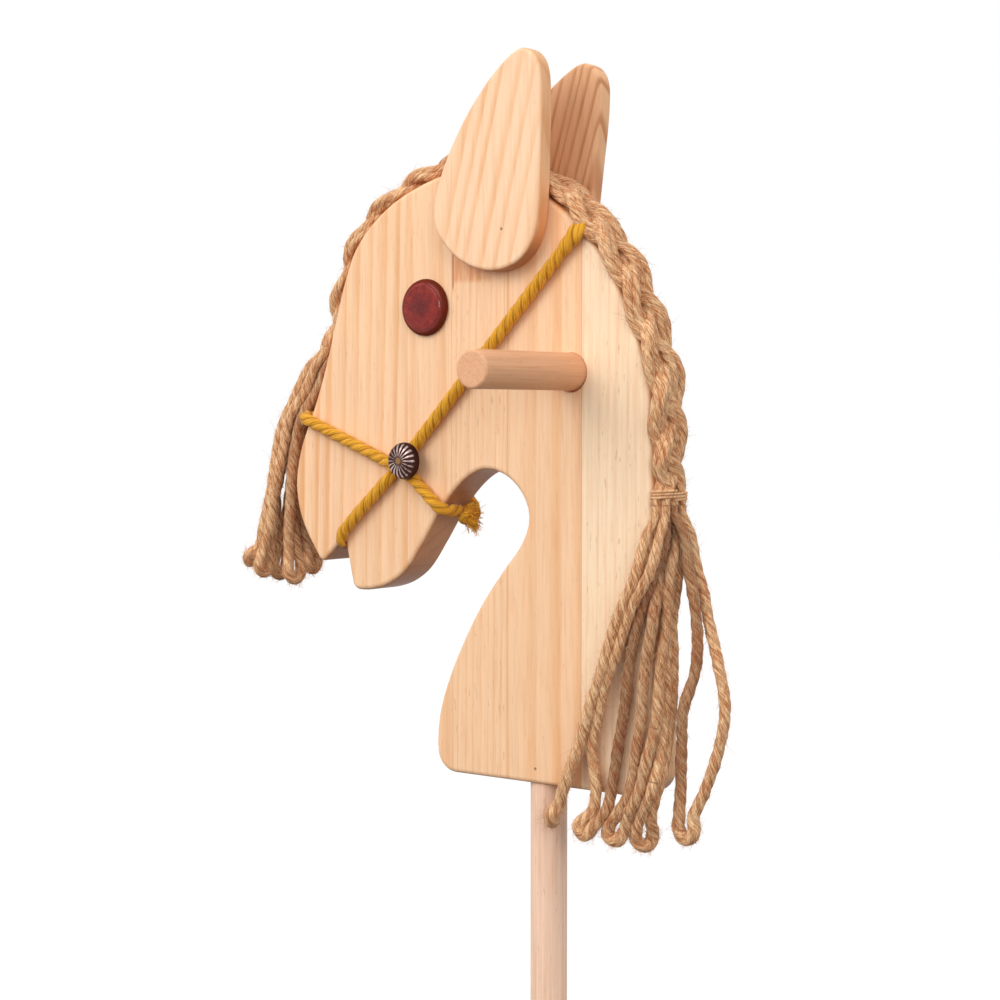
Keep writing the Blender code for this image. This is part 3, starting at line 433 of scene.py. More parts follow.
turn = (rings + (uneven - 0.5) * given["Unevenness"]).math("FRACT")
late = fade(turn, given["Late Share"] * -1.0 + 0.9, 0.82) * fade(turn, 0.86, 1.0, 1.0, 0.0)
depth = fade(speckle(place, (30.0, 30.0, 2.0), 2.0), 0.25, 0.75, 0.45, 1.2)
late = late * given["Ring Depth"] * depth
colour = tint(late, given["Early"], given["Late"])
fine = speckle(place, (1300.0, 1300.0, 28.0), 3.0, 0.6)
broad = speckle(place, (260.0, 260.0, 9.0), 2.0, 0.6)
streaked = (fine - 0.5 + (broad - 0.5)) * given["Fibre"] + 1.0
colour = tint(1.0, colour, streaked, "MULTIPLY")
dots = fade(speckle(place, (620.0, 620.0, 110.0), 2.0, 0.55), 0.64, 0.74) * given["Flecks"]
colour = tint(dots, colour, given["Fleck Colour"])
mottle = fade(speckle(place, (430.0, 430.0, 24.0), 3.0, 0.65), 0.44, 0.66)
colour = tint(mottle * given["Mottle"], colour, given["Mottle Tint"], "MULTIPLY")
red = given["Patch"].math("MINIMUM", 1.0) * fade(mottle, 0.0, 1.0, 0.55, 1.0)
colour = tint(red, colour, given["Patch Tint"], "MULTIPLY")
scar = fade(given["Patch"], 1.0, 2.0, 0.0, 0.75)
colour = tint(scar, colour, given["Fleck Colour"])
facing = axes(given["Facing"])
edge = fade(abs(facing[1]), 0.3, 0.9, 1.0, 0.0) * given["Plate"]
# Painted shade: sawn edges that face down are darkened by a tint.
end = edge * fade(facing[2], -0.75, -0.15, 1.0, 0.0)
colour = tint(edge, colour, given["Edge Tint"], "MULTIPLY")
colour = tint(end, colour, given["Underside Shade Tint"], "MULTIPLY")
feed(result["Colour"], colour)
feed(result["Roughness"], late * -0.08 + (fine * 0.18 + 0.42))
feed(result["Height"], late * 0.5 + fine - dots)


def wood(name, growth, along_y=False, plate=False, **colours):
    """A wooden finish, with the grain along Z or Y. Growth gives the group's values in the order of
    GROWTH. Its colours are given by name, with underscores for spaces."""
    material, tree = surface(name)
    place = object_place(tree)
    if along_y:
        x, y, z = axes(place)
        place = value(tree, "CombineXYZ", {0: x, 1: z, 2: y})
    inputs = {"Place": place, "Facing": value(tree, "TexCoord", output="Normal"), "Plate": float(plate)}
    inputs.update(zip(GROWTH, growth))
    inputs.update({key.replace("_", " "): given for key, given in colours.items()})
    sawn = put(tree, "Group", inputs, node_tree=wood_tree)
    colour, rough, height = (Value(made) for made in sawn.outputs)
    look(material, Base_Color=colour, Roughness=rough, Normal=relief(tree, height, 0.25, 0.4 * MM),
         Specular_IOR_Level=0.3)
    return material


CREAM, PALE_CREAM = paint(251, 208, 168), paint(255, 226, 192)
HONEY, RESIN = paint(238, 179, 126), paint(170, 104, 66)
# Each stave: its right edge, then its growth.
STAVES = (
    (-98.0, (-0.462, 0.09, 0.0103, 0.85, 0.62, 0.9, 0.007, 0.03, 0.17, 0.16)),
    (-63.0, (-0.300, 0.16, 0.0125, 0.5, 0.6, 0.8, 0.006, -0.02, 0.16, 0.14)),
    (-21.0, (-0.520, 0.05, 0.0052, 0.4, 0.35, 1.0, 0.003, 0.01, 0.18, 0.3)),
    (33.0, (-0.3868, 0.06, 0.0188, 0.85, 0.6, 0.25, 0.005, 0.0, 0.15, 0.14)),
    (90.0, (-0.610, 0.10, 0.0064, 0.3, 0.4, 1.0, 0.004, 0.01, 0.16, 0.3)),
)
GLUE_GROWTH = (-0.4, 0.1, 0.01, 0.8, 0.45, 0.4, 0.004, 0.0, 0.1, 0.1)
# The fifth stave's paler cream is partly its own wood and partly painted light, which lifts it against the
# shade that falls on the neck.
stave_woods = [wood(f"pine_stave_{i}", growth, plate=True, Late=HONEY, Fleck_Colour=RESIN,
                    Early=PALE_CREAM if i == len(STAVES) else CREAM)
               for i, (edge, growth) in enumerate(STAVES, 1)]
# Below the left ear the third stave has a reddish patch that starts at a dark line.
PATCH_LEFT, PATCH_RIGHT, PATCH_LOW, PATCH_HIGH = -62.4 * MM, -30.0 * MM, 801.0 * MM, 828.0 * MM
tree = stave_woods[2].node_tree
x, y, z = axes(object_place(tree))
wide = fade(x, PATCH_LEFT, PATCH_LEFT + 0.8 * MM) * fade(x, PATCH_RIGHT - 9 * MM, PATCH_RIGHT, 1.0, 0.0)
wide = wide * fade(z, PATCH_LOW, PATCH_LOW + 4 * MM)
line = fade(abs(x - (PATCH_LEFT + 0.5 * MM)), 0.4 * MM, 1.0 * MM, 2.0, 0.0)
line = line * fade(z, PATCH_LOW - 7 * MM, PATCH_LOW + 1 * MM)
in_patch = wide.math("MAXIMUM", line) * fade(z, PATCH_HIGH, PATCH_HIGH + 4 * MM, 1.0, 0.0)
sawn = next(node for node in tree.nodes if node.type == "GROUP")
feed(sawn.inputs["Patch"], in_patch)
glue_line = wood("glue_line", GLUE_GROWTH, plate=True, Early=paint(222, 172, 122), Late=paint(190, 135, 90))
GLUE_WIDTH = 0.25 * MM

head_line = sawn_outline(HEAD_OUTLINE, step=1.6 * MM)
head_mesh = skin("head_blank", plank_rings(head_line, BOARD_THICKNESS, BOARD_ROUNDING, foot=BOARD_FOOT))
bore_turn = round_angles(96)
bore = np.stack([
    HANDLE_X + HANDLE_HOLE_DIAMETER / 2 * np.cos(bore_turn),
    HANDLE_Z - HANDLE_HOLE_DROP + HANDLE_HOLE_DIAMETER / 2 * np.sin(bore_turn)], 1)
bore_grid = np.stack([np.insert(bore, 1, y, 1) for y in (-BOARD_THICKNESS, BOARD_THICKNESS)])
cutter, blank = add("handle_bore", skin("handle_bore", bore_grid)), add("head_blank", head_mesh)
cutting = blank.modifiers.new("handle_bore", "BOOLEAN")
cutting.operation, cutting.object = "DIFFERENCE", cutter
bored = bpy.data.meshes.new_from_object(blank.evaluated_get(bpy.context.evaluated_depsgraph_get()))
for obj in (cutter, blank):
    bpy.data.objects.remove(obj)
bored.name = "head_board_pine"
bm = bmesh.new()
bm.from_mesh(bored)
edges = np.array([edge for edge, growth in STAVES[:-1]]) * MM
for cut in (edge + side * GLUE_WIDTH / 2 for edge in edges for side in (-1, 1)):
    everything = bm.verts[:] + bm.edges[:] + bm.faces[:]
    bmesh.ops.bisect_plane(bm, geom=everything, dist=1e-6, plane_co=(cut, 0, 0), plane_no=(1, 0, 0))
for face in bm.faces:
    x = face.calc_center_median().x
    on_line = np.abs(edges - x).min() < GLUE_WIDTH / 2
    face.material_index = len(STAVES) if on_line else int(np.sum(edges < x))
bm.to_mesh(bored)
bm.free()
piece(bored, stave_woods + [glue_line], "pine", "head_board")

# The ears: two pine plates with rounded edges, glued and nailed flat on the head's faces. The grain
# runs along them. The right one was set a little further back and leans.
EAR_THICKNESS, EAR_ROUNDING = 12.0 * MM, 2.5 * MM
EAR_OUTLINE = (
    (-28.0, 304.0), (-8.5, 306.5), (4.0, 317.0), (9.8, 335.0), (12.0, 376.0), (12.3, 410.0),
    (8.8, 425.5), (-1.5, 432.0), (-14.0, 426.5), (-32.0, 410.0), (-50.0, 386.0), (-62.0, 363.0),
    (-68.0, 343.0), (-65.0, 328.0), (-49.0, 311.5),
)
RIGHT_EAR_LEAN, RIGHT_EAR_SHIFT = math.radians(5.5), np.array((4.0, -2.0)) * MM
ear_line = sawn_outline(EAR_OUTLINE, step=1.5 * MM)
ear_foot = np.array(min(EAR_OUTLINE, key=lambda spot: spot[1])) * MM
EAR_WOODS = {
    "left": wood("left_ear_wood", (-0.62, 0.20, 0.0094, 0.8, 0.6, 0.7, 0.006, 0.26, 0.13, 0.10), plate=True,
                 Early=paint(252, 212, 175), Late=paint(240, 184, 134), Fleck_Colour=RESIN),
    # The right ear's colours are darker than the left's as painted shade, for the shade the left ear casts on
    # it, and its edge tint above 1 lifts its edges as painted light.
    "right": wood("right_ear_wood", (-0.60, 0.12, 0.0062, 1.0, 0.5, 0.8, 0.005, 0.30, 0.10, 0.06), plate=True,
                  Early=paint(226, 176, 134), Late=paint(186, 120, 74), Fleck_Colour=RESIN,
                  Edge_Tint=(1.25, 1.25, 1.25, 1.0)),
}
for name, side in SIDES.items():
    lean = RIGHT_EAR_LEAN if side > 0 else 0.0
    turned = np.array(((math.cos(lean), math.sin(lean)), (-math.sin(lean), math.cos(lean))))
    placed = (ear_line - ear_foot) @ turned.T + ear_foot + (RIGHT_EAR_SHIFT if side > 0 else 0.0)
    middle = side * (HALF_BOARD + SEAT_GAP + EAR_THICKNESS / 2)
    ear_mesh = skin(name + "_ear_pine", plank_rings(placed, EAR_THICKNESS, EAR_ROUNDING, middle, BOARD_FOOT))
    piece(ear_mesh, [EAR_WOODS[name]], "pine", name + "_ear")

# The pole and the handle: planed beech dowels with softened ends. The pole is glued up into the
# head's lower edge, and the handle goes right through the head.
POLE_DIAMETER, POLE_LENGTH = 22.0 * MM, 564.0 * MM
HANDLE_LENGTH, HANDLE_NEAR_REACH = 200.0 * MM, 108.0 * MM
DOWEL_SOFTENING = 1.8 * MM


def lathe(name, profile, sides, centre, side, **values):
    """A body turned from (radius, height) pairs: each becomes a ring of that radius, at that height
    along −Y or +Y as the side is −1 or 1, or upwards if it is 0."""
    angle = round_angles(sides)
    r, h = np.array(profile, float).T
    a, b = r[:, None] * np.cos(angle), r[:, None] * np.sin(angle)
    h = np.repeat(h[:, None], sides, 1)
    grid = (a, side * h, b) if side else (a, b, h)
    return skin(name, np.stack(grid, -1) + centre, along=np.array(profile)[:, 1], **values)


def dowel_profile(diameter, length, softening, steps=7):
    """A rod whose ends are rounded by the softening: a quarter circle at each end."""
    a = np.linspace(0, math.pi / 2, steps)
    r = diameter / 2 - softening * (1 - np.sin(a))
    h = softening * (1 - np.cos(a))
    middle = np.linspace(softening, length - softening, 12)[1:-1]
    return [*zip(r, h), *((diameter / 2, m) for m in middle), *zip(r[::-1], length - h[::-1])]


BEECH_GROWTH = (0.35, 0.6, 1.2, 0.002, 0.0, 0.28, 0.3)
pole_wood = wood("pole_beech", (-0.03, 0.02, 0.0021) + BEECH_GROWTH, Early=paint(252, 214, 188),
                 Late=paint(226, 180, 152), Fleck_Colour=paint(190, 138, 110))
handle_wood = wood("handle_beech", (-0.01, 0.70, 0.0019) + BEECH_GROWTH, along_y=True,
                   Early=paint(232, 178, 138), Late=paint(214, 154, 112), Fleck_Colour=paint(186, 122, 84))
pole_profile = dowel_profile(POLE_DIAMETER, POLE_LENGTH, DOWEL_SOFTENING)
piece(lathe("pole_dowel", pole_profile, 96, (0, 0, 0), 0), [pole_wood], "beech_pole", "pole")
handle_profile = dowel_profile(HANDLE_DIAMETER, HANDLE_LENGTH, DOWEL_SOFTENING)
handle_mesh = lathe("handle_grip", handle_profile, 96, (HANDLE_X, -HANDLE_NEAR_REACH, HANDLE_Z), 1)
piece(handle_mesh, [handle_wood], "beech_handle", "handle_dowel")

# The panel pins: one in each ear and one through the head into the pole. Each head is a low dome
# just proud of the wood, and has gone brown.
PIN_RADIUS, PIN_DOME, PIN_LENGTH = 0.9 * MM, 0.15 * MM, 25.0 * MM
pin_steel, tree = surface("brown_pin_steel")
rust = speckle(object_place(tree), (2500.0, 2500.0, 2500.0))
look(pin_steel, Metallic=0.2, Base_Color=tint(fade(rust, 0.4, 0.6), paint(176, 138, 108), paint(136, 96, 70)),
     Roughness=fade(rust, 0.3, 0.7, 0.35, 0.7))
dome = np.radians(np.linspace(0, 84, 8))
pin_profile = [(PIN_RADIUS / 4, -PIN_LENGTH), (PIN_RADIUS, 2 * PIN_RADIUS - PIN_LENGTH),
               *zip(PIN_RADIUS * np.cos(dome), PIN_DOME * np.sin(dome))]
for name, side, spot in (
        ("pole_pin", -1, (0.0, -14.0, 513.0)), ("left_ear_pin", -1, (-16.0, -26.3, 832.0)),
        ("right_ear_pin", 1, (-9.76, 26.3, 828.74))):
    piece(lathe(name + "_steel", pin_profile, 20, np.array(spot) * MM, side), [pin_steel], "steel", name)

# The eyes: turned wooden buttons with a rounded rim and a low dome, stained dark red and varnished.
# Each stands on a peg in the head. The stain is patchy, darkest in the middle and browner on the rim.
EYE_RADIUS, EYE_THICKNESS, EYE_DOME = 17.4 * MM, 5.2 * MM, 0.9 * MM
EYE_RIM, EYE_EDGE, EYE_STEP, EYE_STEP_WIDTH = 2.6 * MM, 3.6 * MM, 1.1 * MM, 1.5 * MM
EYE_X, EYE_Z = -82.5 * MM, 788.5 * MM
PEG_RADIUS, PEG_LENGTH = 4.0 * MM, 9.0 * MM
stain, tree = surface("stained_varnished_wood")
place = object_place(tree)
rim = attribute(tree, "rim")
cloud = speckle(place, (240.0, 240.0, 240.0), 4.0, 0.7)
spots = speckle(place, (900.0, 900.0, 900.0), 3.0, 0.6)
colour = tint(fade(cloud, 0.3, 0.7), paint(112, 20, 14), paint(150, 38, 26))
colour = tint(fade(rim, 0.0, 0.6, 0.75, 0.0), colour, paint(84, 18, 20))
colour = tint(fade(spots, 0.58, 0.72, 0.0, 0.5), colour, paint(60, 16, 18))
colour = tint(fade(spots, 0.42, 0.30, 0.0, 0.25), colour, paint(190, 78, 66))
colour = tint(fade(rim, 0.80, 0.93, 0.0, 0.85), colour, paint(98, 42, 24))
look(stain, Base_Color=colour, Roughness=fade(cloud, 0.3, 0.7, 0.34, 0.5), Specular_IOR_Level=0.0,
     Normal=relief(tree, cloud, 0.2, 0.3 * MM), Coat_Weight=fade(rim, 0.80, 0.92, 0.7, 0.12),
     Coat_Roughness=0.10, Coat_IOR=1.5)


def eye_profile():
    """Peg, flat back, a quarter-ellipse rim, a smooth step up inside it, and a low dome."""
    a = np.linspace(math.pi / 2, 0.0, 14)
    rim_r = EYE_RADIUS - EYE_RIM + EYE_RIM * np.sin(a)
    rim_h = EYE_THICKNESS - EYE_STEP - EYE_EDGE + EYE_EDGE * np.cos(a)
    t = np.linspace(0.1, 1, 12)
    step_r = EYE_RADIUS - EYE_RIM - EYE_STEP_WIDTH * t
    step_h = EYE_THICKNESS - EYE_STEP + EYE_STEP * eased(t)
    share = np.linspace(0.05, 0.98, 16)
    face_r = step_r[-1] * (1 - share)
    face_h = EYE_THICKNESS + EYE_DOME * np.sin(share * math.pi / 2)
    back = [(PEG_RADIUS - 0.5 * MM, -PEG_LENGTH), (PEG_RADIUS, 0.5 * MM - PEG_LENGTH), (PEG_RADIUS, SEAT_GAP),
            (EYE_RADIUS - 0.6 * MM, SEAT_GAP)]
    front = zip(np.concatenate([rim_r, step_r, face_r]), SEAT_GAP + np.concatenate([rim_h, step_h, face_h]))
    return back + list(front)


for name, side in SIDES.items():
    profile = eye_profile()
    reach = np.array(profile)[:, :1] / EYE_RADIUS
    eye_mesh = lathe(name + "_eye_button", profile, 96, (EYE_X, side * HALF_BOARD, EYE_Z), side, rim=reach)
    piece(eye_mesh, [stain], "stained_wood", name + "_eye")

# The bridle: laid cord of three strands, dyed mustard. One length runs through the mouth, up both
# cheeks and over the poll under the braid. The other goes round the nose and is tied under the
# throat. Rosettes pin them where they cross, and press them flat there.
CORD_RADIUS, CORD_PITCH, CORD_IN_MOUTH = 3.5 * MM, 26.0 * MM, 0.5
CORD_FULLNESS, CORD_FLARE, FLARE_REACH = 1.14, 0.45, 17.0 * MM
PINCH, PINCH_FLAT, PINCH_REACH = 0.5, 4.8 * MM, 13.0 * MM
HEADSTALL_CHEEK, NOSEBAND_CHEEK = np.array((-96.6, 191.9)) * MM, np.array((-94.6, 183.3)) * MM
CORDS_CROSS = np.array((-101.4, 186.0)) * MM
TO_POLL, TO_MOUTH, TO_NOSE, TO_THROAT = 45.8, 222.8, 158.8, -40.5
HEADSTALL_ACROSS, NOSEBAND_ACROSS = 134.0, 61.0
ROUTE_STEP, LINE_STEP = 2.0 * MM, 0.8 * MM
MOUTH_SLACK, STRAIGHT_TO_POLL, STRAIGHT_TO_NOSE = 0.3 * MM, 14.0 * MM, 10.0 * MM
KNOT_SIZE, KNOT_Y, KNOT_BELOW_JAW = 16.0 * MM, 4.5 * MM, 1.5 * MM

# Spun fibre for every rope and cord: streaks along the strands, which the UV map follows, with
# painted shade in the grooves between strands, so their crests are lighter.
fibre_tree, given, result = group(
    "spun_fibre",
    {"Crest": 1.0, "Shade": 0.0, "Length Scale": 90.0, "Strand Scale": 16.0, "Patches": 0.3, "Stray": 0.0,
     "Grooves": 0.5, "Bright": (0.6, 0.4, 0.2, 1.0), "Plain": (0.45, 0.3, 0.14, 1.0),
     "Deep": (0.15, 0.08, 0.03, 1.0)},
    {"Colour": "Color", "Height": "Float"})
along, around = axes(value(fibre_tree, "UVMap", uv_map="UVMap"))[:2]


def streaks(turns, scale, detail):
    """Noise in long streaks that follow the rope and close up round it."""
    angle = turns * (2 * math.pi)
    ring = {0: along * given["Length Scale"], 1: angle.math("COSINE") * given["Strand Scale"],
            2: angle.math("SINE") * given["Strand Scale"]}
    place = value(fibre_tree, "CombineXYZ", ring)
    inputs = {"Vector": place, "Scale": scale, "Detail": detail, "Roughness": 0.7}
    return value(fibre_tree, "TexNoise", inputs)


fine, astray = streaks(around, 1.0, 4.0), streaks(along * -37.0 + around, 1.6, 3.0)
fine = value(fibre_tree, "Mix", {0: given["Stray"], 2: fine, 3: astray})
patch = speckle(object_place(fibre_tree), (60.0, 60.0, 60.0), 3.0)
light = fade(fine, 0.43, 0.58) + (patch - 0.5) * given["Patches"]
colour = tint(light, given["Plain"], given["Bright"])
colour = tint(fade(fine, 0.46, 0.3, 0.0, 0.6), colour, given["Deep"])
# Painted shade in the grooves between strands.
colour = tint(fade(given["Crest"], 0.5, 0.0) * given["Grooves"], colour, given["Deep"])
# Painted shade along a whole run, from the mesh's shade attribute.
colour = tint(given["Shade"], colour, given["Deep"])
feed(result["Colour"], colour)
feed(result["Height"], fine)


def fibre(name, bright, plain, deep, roughened=0.6, **values):
    """A rope's or cord's finish, with a soft sheen along its edges. The group's other values are
    given by name, with underscores for spaces."""
    material, tree = surface(name)
    inputs = {"Bright": bright, "Plain": plain, "Deep": deep}
    for key in ("Crest", "Shade"):
        inputs[key] = attribute(tree, key.lower())
    inputs.update({key.replace("_", " "): given for key, given in values.items()})
    spun = put(tree, "Group", inputs, node_tree=fibre_tree)
    colour, height = (Value(made) for made in spun.outputs)
    look(material, Base_Color=colour, Normal=relief(tree, height, roughened, 1.0 * MM), Roughness=0.8,
         Specular_IOR_Level=0.25, Sheen_Weight=0.15)
    return material


mustard = fibre("mustard_cord", paint(238, 176, 50), paint(214, 146, 22), paint(140, 80, 6),
                Length_Scale=150.0, Strand_Scale=4.0, Grooves=0.65)


def flowing(points, step):
    """A smooth open line through the points, about a step between its own: cubics whose direction at
    each point is along the line between its neighbours."""
    p = np.asarray(points, float)
    ways = np.vstack([unit(p[1] - p[0]), unit(p[2:] - p[:-2]), unit(p[-1] - p[-2])])
    counts = np.maximum(2, np.round(np.linalg.norm(np.diff(p, axis=0), axis=1) / step)).astype(int)
    parts = [span(p[i], p[i + 1], ways[i], ways[i + 1], n) for i, n in enumerate(counts)]
    return np.vstack(parts + [p[-1:]])


def run_of(line):
    """How far along the line each of its points is."""
    return np.concatenate([[0.0], np.cumsum(np.linalg.norm(np.diff(line, axis=0), axis=1))])


def read_off(at, run, points):
    """The points at these runs along a line."""
    return np.stack([np.interp(at, run, column) for column in points.T], 1)


def evenly(line, step):
    """The same line with its points a step apart."""
    run = run_of(line)
    return read_off(np.linspace(0, run[-1], max(3, round(run[-1] / step))), run, line)


def laid_rope(name, line, radius, pitch, across, strands=3, sides=24, groove=0.19, round_groove=1.0,
              press=1.0, phase=0.0, shade=0.0):
    """A laid rope's surface about a line. At angle a the section's radius is
    r·(1 − g·(1 − |cos(n·a/2)|^k)), and the whole section turns left by a full turn each pitch. A
    larger k rounds the grooves. The direction across keeps the rings from twisting. Press flattens
    a ring along Y, and shade darkens it."""
    way = unit(np.gradient(line, axis=0))
    side = unit(np.cross(way, across))
    other = np.cross(way, side)
    run = run_of(line)
    angle = round_angles(sides)
    crest = np.abs(np.cos(strands * angle / 2)) ** round_groove
    turn = (angle - (2 * math.pi * run / pitch + phase)[:, None])[..., None]
    r = np.broadcast_to(radius, len(line))[:, None] * (1 - groove * (1 - crest))
    ring = r[..., None] * (np.cos(turn) * side[:, None] + np.sin(turn) * other[:, None])
    ring[..., 1] *= np.broadcast_to(press, len(line))[:, None]
    # Shade is painted shade, kept on the mesh for its material.
    shade = np.broadcast_to(shade, len(line))[:, None]
    return skin(name, line[:, None] + ring, along=run, crest=np.broadcast_to(crest, r.shape), shade=shade)


def heading(degrees):
    """The way in X and Z at an angle from +X towards +Z."""
    return np.array((math.cos(math.radians(degrees)), math.sin(math.radians(degrees))))


def edge_ahead(outline, start, way):
    """Where a straight run over the head's face, from start, comes to the head's edge."""
    a, side = outline, np.roll(outline, -1, 0) - outline
    cross = way[0] * side[:, 1] - way[1] * side[:, 0]
    gap = a - start
    ahead = (gap[:, 0] * side[:, 1] - gap[:, 1] * side[:, 0]) / cross
    share = (gap[:, 0] * way[1] - gap[:, 1] * way[0]) / cross
    return start + way * ahead[(ahead > 0) & (share >= 0) & (share <= 1)].min()


def round_edge(edge, way, steps=5):
    """The cord's line round a rounded edge of the head: a quarter circle from face to edge."""
    hold = BOARD_ROUNDING + SEAT_GAP + CORD_RADIUS
    middle = edge - way * BOARD_ROUNDING
    turns = np.linspace(0, math.pi / 2, steps)[:, None]
    flat = middle + way * hold * np.sin(turns)
    return np.insert(flat, 1, -(HALF_BOARD - BOARD_ROUNDING + hold * np.cos(turns[:, 0])), 1)


def on_cheek(spots):
    """The line of a cord that lies on the left face over these spots."""
    return np.insert(np.array(spots), 1, -(HALF_BOARD + SEAT_GAP + CORD_RADIUS), 1)


def mirrored(points):
    """The same points on the other side of the head."""
    return np.asarray(points) * (1, -1, 1)


def pressed(line, over):
    """How flat a cord is at each point, and its line moved to suit: both are flat where they cross
    under a rosette, and the noseband lies over the headstall."""
    away = np.linalg.norm(line[:, [0, 2]] - CORDS_CROSS, axis=1)
    near = np.clip((PINCH_REACH - away) / (PINCH_REACH - PINCH_FLAT), 0, 1)
    near = eased(near) * (np.abs(line[:, 1]) > HALF_BOARD)
    low = CORD_RADIUS * PINCH
    stand_off = low - CORD_RADIUS + (2 * low + 2 * SEAT_GAP if over else 0.0)
    moved = line.copy()
    moved[:, 1] += np.sign(line[:, 1]) * stand_off * near
    return moved, 1 - (1 - PINCH) * near


def headstall_line():
    """Points from the middle of the mouth up the left cheek to the middle of the poll, then both
    halves as one line."""
    corner = np.array(MOUTH_CORNER[:2]) * MM
    to_lip, to_chin = unit(np.array(UPPER_LIP[:2]) * MM - corner), unit(np.array(CHIN[:2]) * MM - corner)
    half_angle = math.acos(float(to_lip @ to_chin)) / 2
    seat = (CORD_RADIUS * CORD_IN_MOUTH + SEAT_GAP + MOUTH_SLACK) / math.sin(half_angle)
    mouth, cheek = corner + unit(to_lip + to_chin) * seat, HEADSTALL_CHEEK
    up, down = heading(TO_POLL), heading(TO_MOUTH)
    poll = edge_ahead(head_line, cheek, up)
    low = cheek + down * (0.94 * np.linalg.norm(cheek - mouth) - 5 * MM)
    face = [low] + [cheek + down * PINCH_REACH * share for share in (1.8, 1.3, 0.9, 0.5, 0.1)]
    face += [cheek + up * PINCH_REACH * share for share in (0.4, 0.9, 1.5)]
    face += [(cheek + poll) / 2, poll - up * STRAIGHT_TO_POLL]
    notch = np.array([(mouth[0], -HALF_BOARD * 0.6, mouth[1]),
                      (mouth[0] + 0.5 * MM, -HALF_BOARD - 1.3 * MM, mouth[1] + 1.0 * MM)])
    over = round_edge(poll, up)
    top = np.array([(over[-1][0], -SEAT_GAP, over[-1][2])])
    left = np.vstack([notch, on_cheek(face), over, top])
    return np.vstack([mirrored(left)[::-1], [(mouth[0], 0.0, mouth[1])], left]), cheek


def noseband_line():
    """Points from the knot under the throat, over the left cheek and the nose, and back."""
    cheek, to_nose, to_throat = NOSEBAND_CHEEK, heading(TO_NOSE), heading(TO_THROAT)
    nose, throat = edge_ahead(head_line, cheek, to_nose), edge_ahead(head_line, cheek, to_throat)
    face = [cheek + to_throat * PINCH_REACH * share for share in (1.1, 0.7, 0.35)]
    face += [cheek + to_nose * PINCH_REACH * share for share in (0.12, 0.4, 0.7, 1.0, 1.5, 2.1)]
    face += [cheek + (nose - cheek) * 0.62, nose - to_nose * STRAIGHT_TO_NOSE]
    left = np.vstack([round_edge(throat, to_throat)[::-1], on_cheek(face), round_edge(nose, to_nose)])
    under, half = left[0], KNOT_SIZE / 2 - 2 * MM
    ends = [np.array([(under[0], KNOT_Y + side * half, under[2])]) for side in (-1, 1)]
    return np.vstack([ends[0], left, mirrored(left)[::-1][1:], ends[1]]), throat


lift = np.array((0, 0, BOARD_FOOT))
route, cheek = headstall_line()
line, press = pressed(evenly(flowing(route, ROUTE_STEP), LINE_STEP), False)
narrow = np.clip((np.abs(line[:, 1]) - HALF_BOARD) / CORD_RADIUS, 0, 1)
narrow[line[:, 2] > cheek[1]] = 1.0
radius = CORD_RADIUS * CORD_FULLNESS * (CORD_IN_MOUTH + (1 - CORD_IN_MOUTH) * narrow)
poll = edge_ahead(head_line, cheek, heading(TO_POLL))
to_poll = np.linalg.norm(line[:, [0, 2]] - poll, axis=1)
flare = np.clip(1 - to_poll / FLARE_REACH, 0, 1) * CORD_FLARE
radius, press = radius * (1 + flare), press * (1 - 0.6 * flare)
across_cords = np.insert(heading(HEADSTALL_ACROSS), 1, 0.0)
headstall = laid_rope("headstall_laid", line + lift, radius, CORD_PITCH, across_cords, press=press, sides=30)
piece(headstall, [mustard], "yellow_cord", "headstall_cord")
route, throat = noseband_line()
line, press = pressed(evenly(flowing(route, ROUTE_STEP), LINE_STEP), True)
across_cords = np.insert(heading(NOSEBAND_ACROSS), 1, 0.0)
noseband = laid_rope("noseband_laid", line + lift, CORD_RADIUS * CORD_FULLNESS, CORD_PITCH, across_cords,
                     press=press, sides=30)
piece(noseband, [mustard], "yellow_cord", "noseband_cord")

# The knot under the throat: the noseband's two ends tied once over each other, cut short, with
# their strands frayed out.
knot_centre = np.insert(throat + heading(TO_THROAT) * (KNOT_SIZE / 2 + KNOT_BELOW_JAW), 1, KNOT_Y) + lift
KNOT_CORD_RADIUS, KNOT_SCALE, KNOT_STEP = 3.3 * MM, 1.75 * MM, 0.6 * MM
FRAY_FROM_MIDDLE, FRAY_SPREAD, FRAY_FAN = 3.5 * MM, 2.0 * MM, 0.32
FRAY_SHORT, FRAY_LONG, FRAY_RADIUS = 3.0 * MM, 6.5 * MM, 0.3 * MM
# Each frayed end: where it points and how many fibres it has.
FRAYS = {"front": ((0.55, -0.35, 0.2), 160), "back": ((0.15, 0.3, -0.75), 140)}


def knot_line(count=420):
    """A trefoil: −1.15 sin 3t by cos t − 2 cos 2t by sin t + 2 sin 2t, a little open at its ends."""
    t = np.linspace(0.06, 2 * math.pi - 0.06, count)
    loop = [np.sin(3 * t) * -1.15, np.cos(t) - 2 * np.cos(2 * t), np.sin(t) + 2 * np.sin(2 * t)]
    return knot_centre + np.stack(loop, 1) * KNOT_SCALE


line = evenly(knot_line(), KNOT_STEP)
knot = laid_rope("throat_knot", line, KNOT_CORD_RADIUS, CORD_PITCH, (0.35, 0.25, 0.9))
piece(knot, [mustard], "yellow_cord", "noseband_knot")


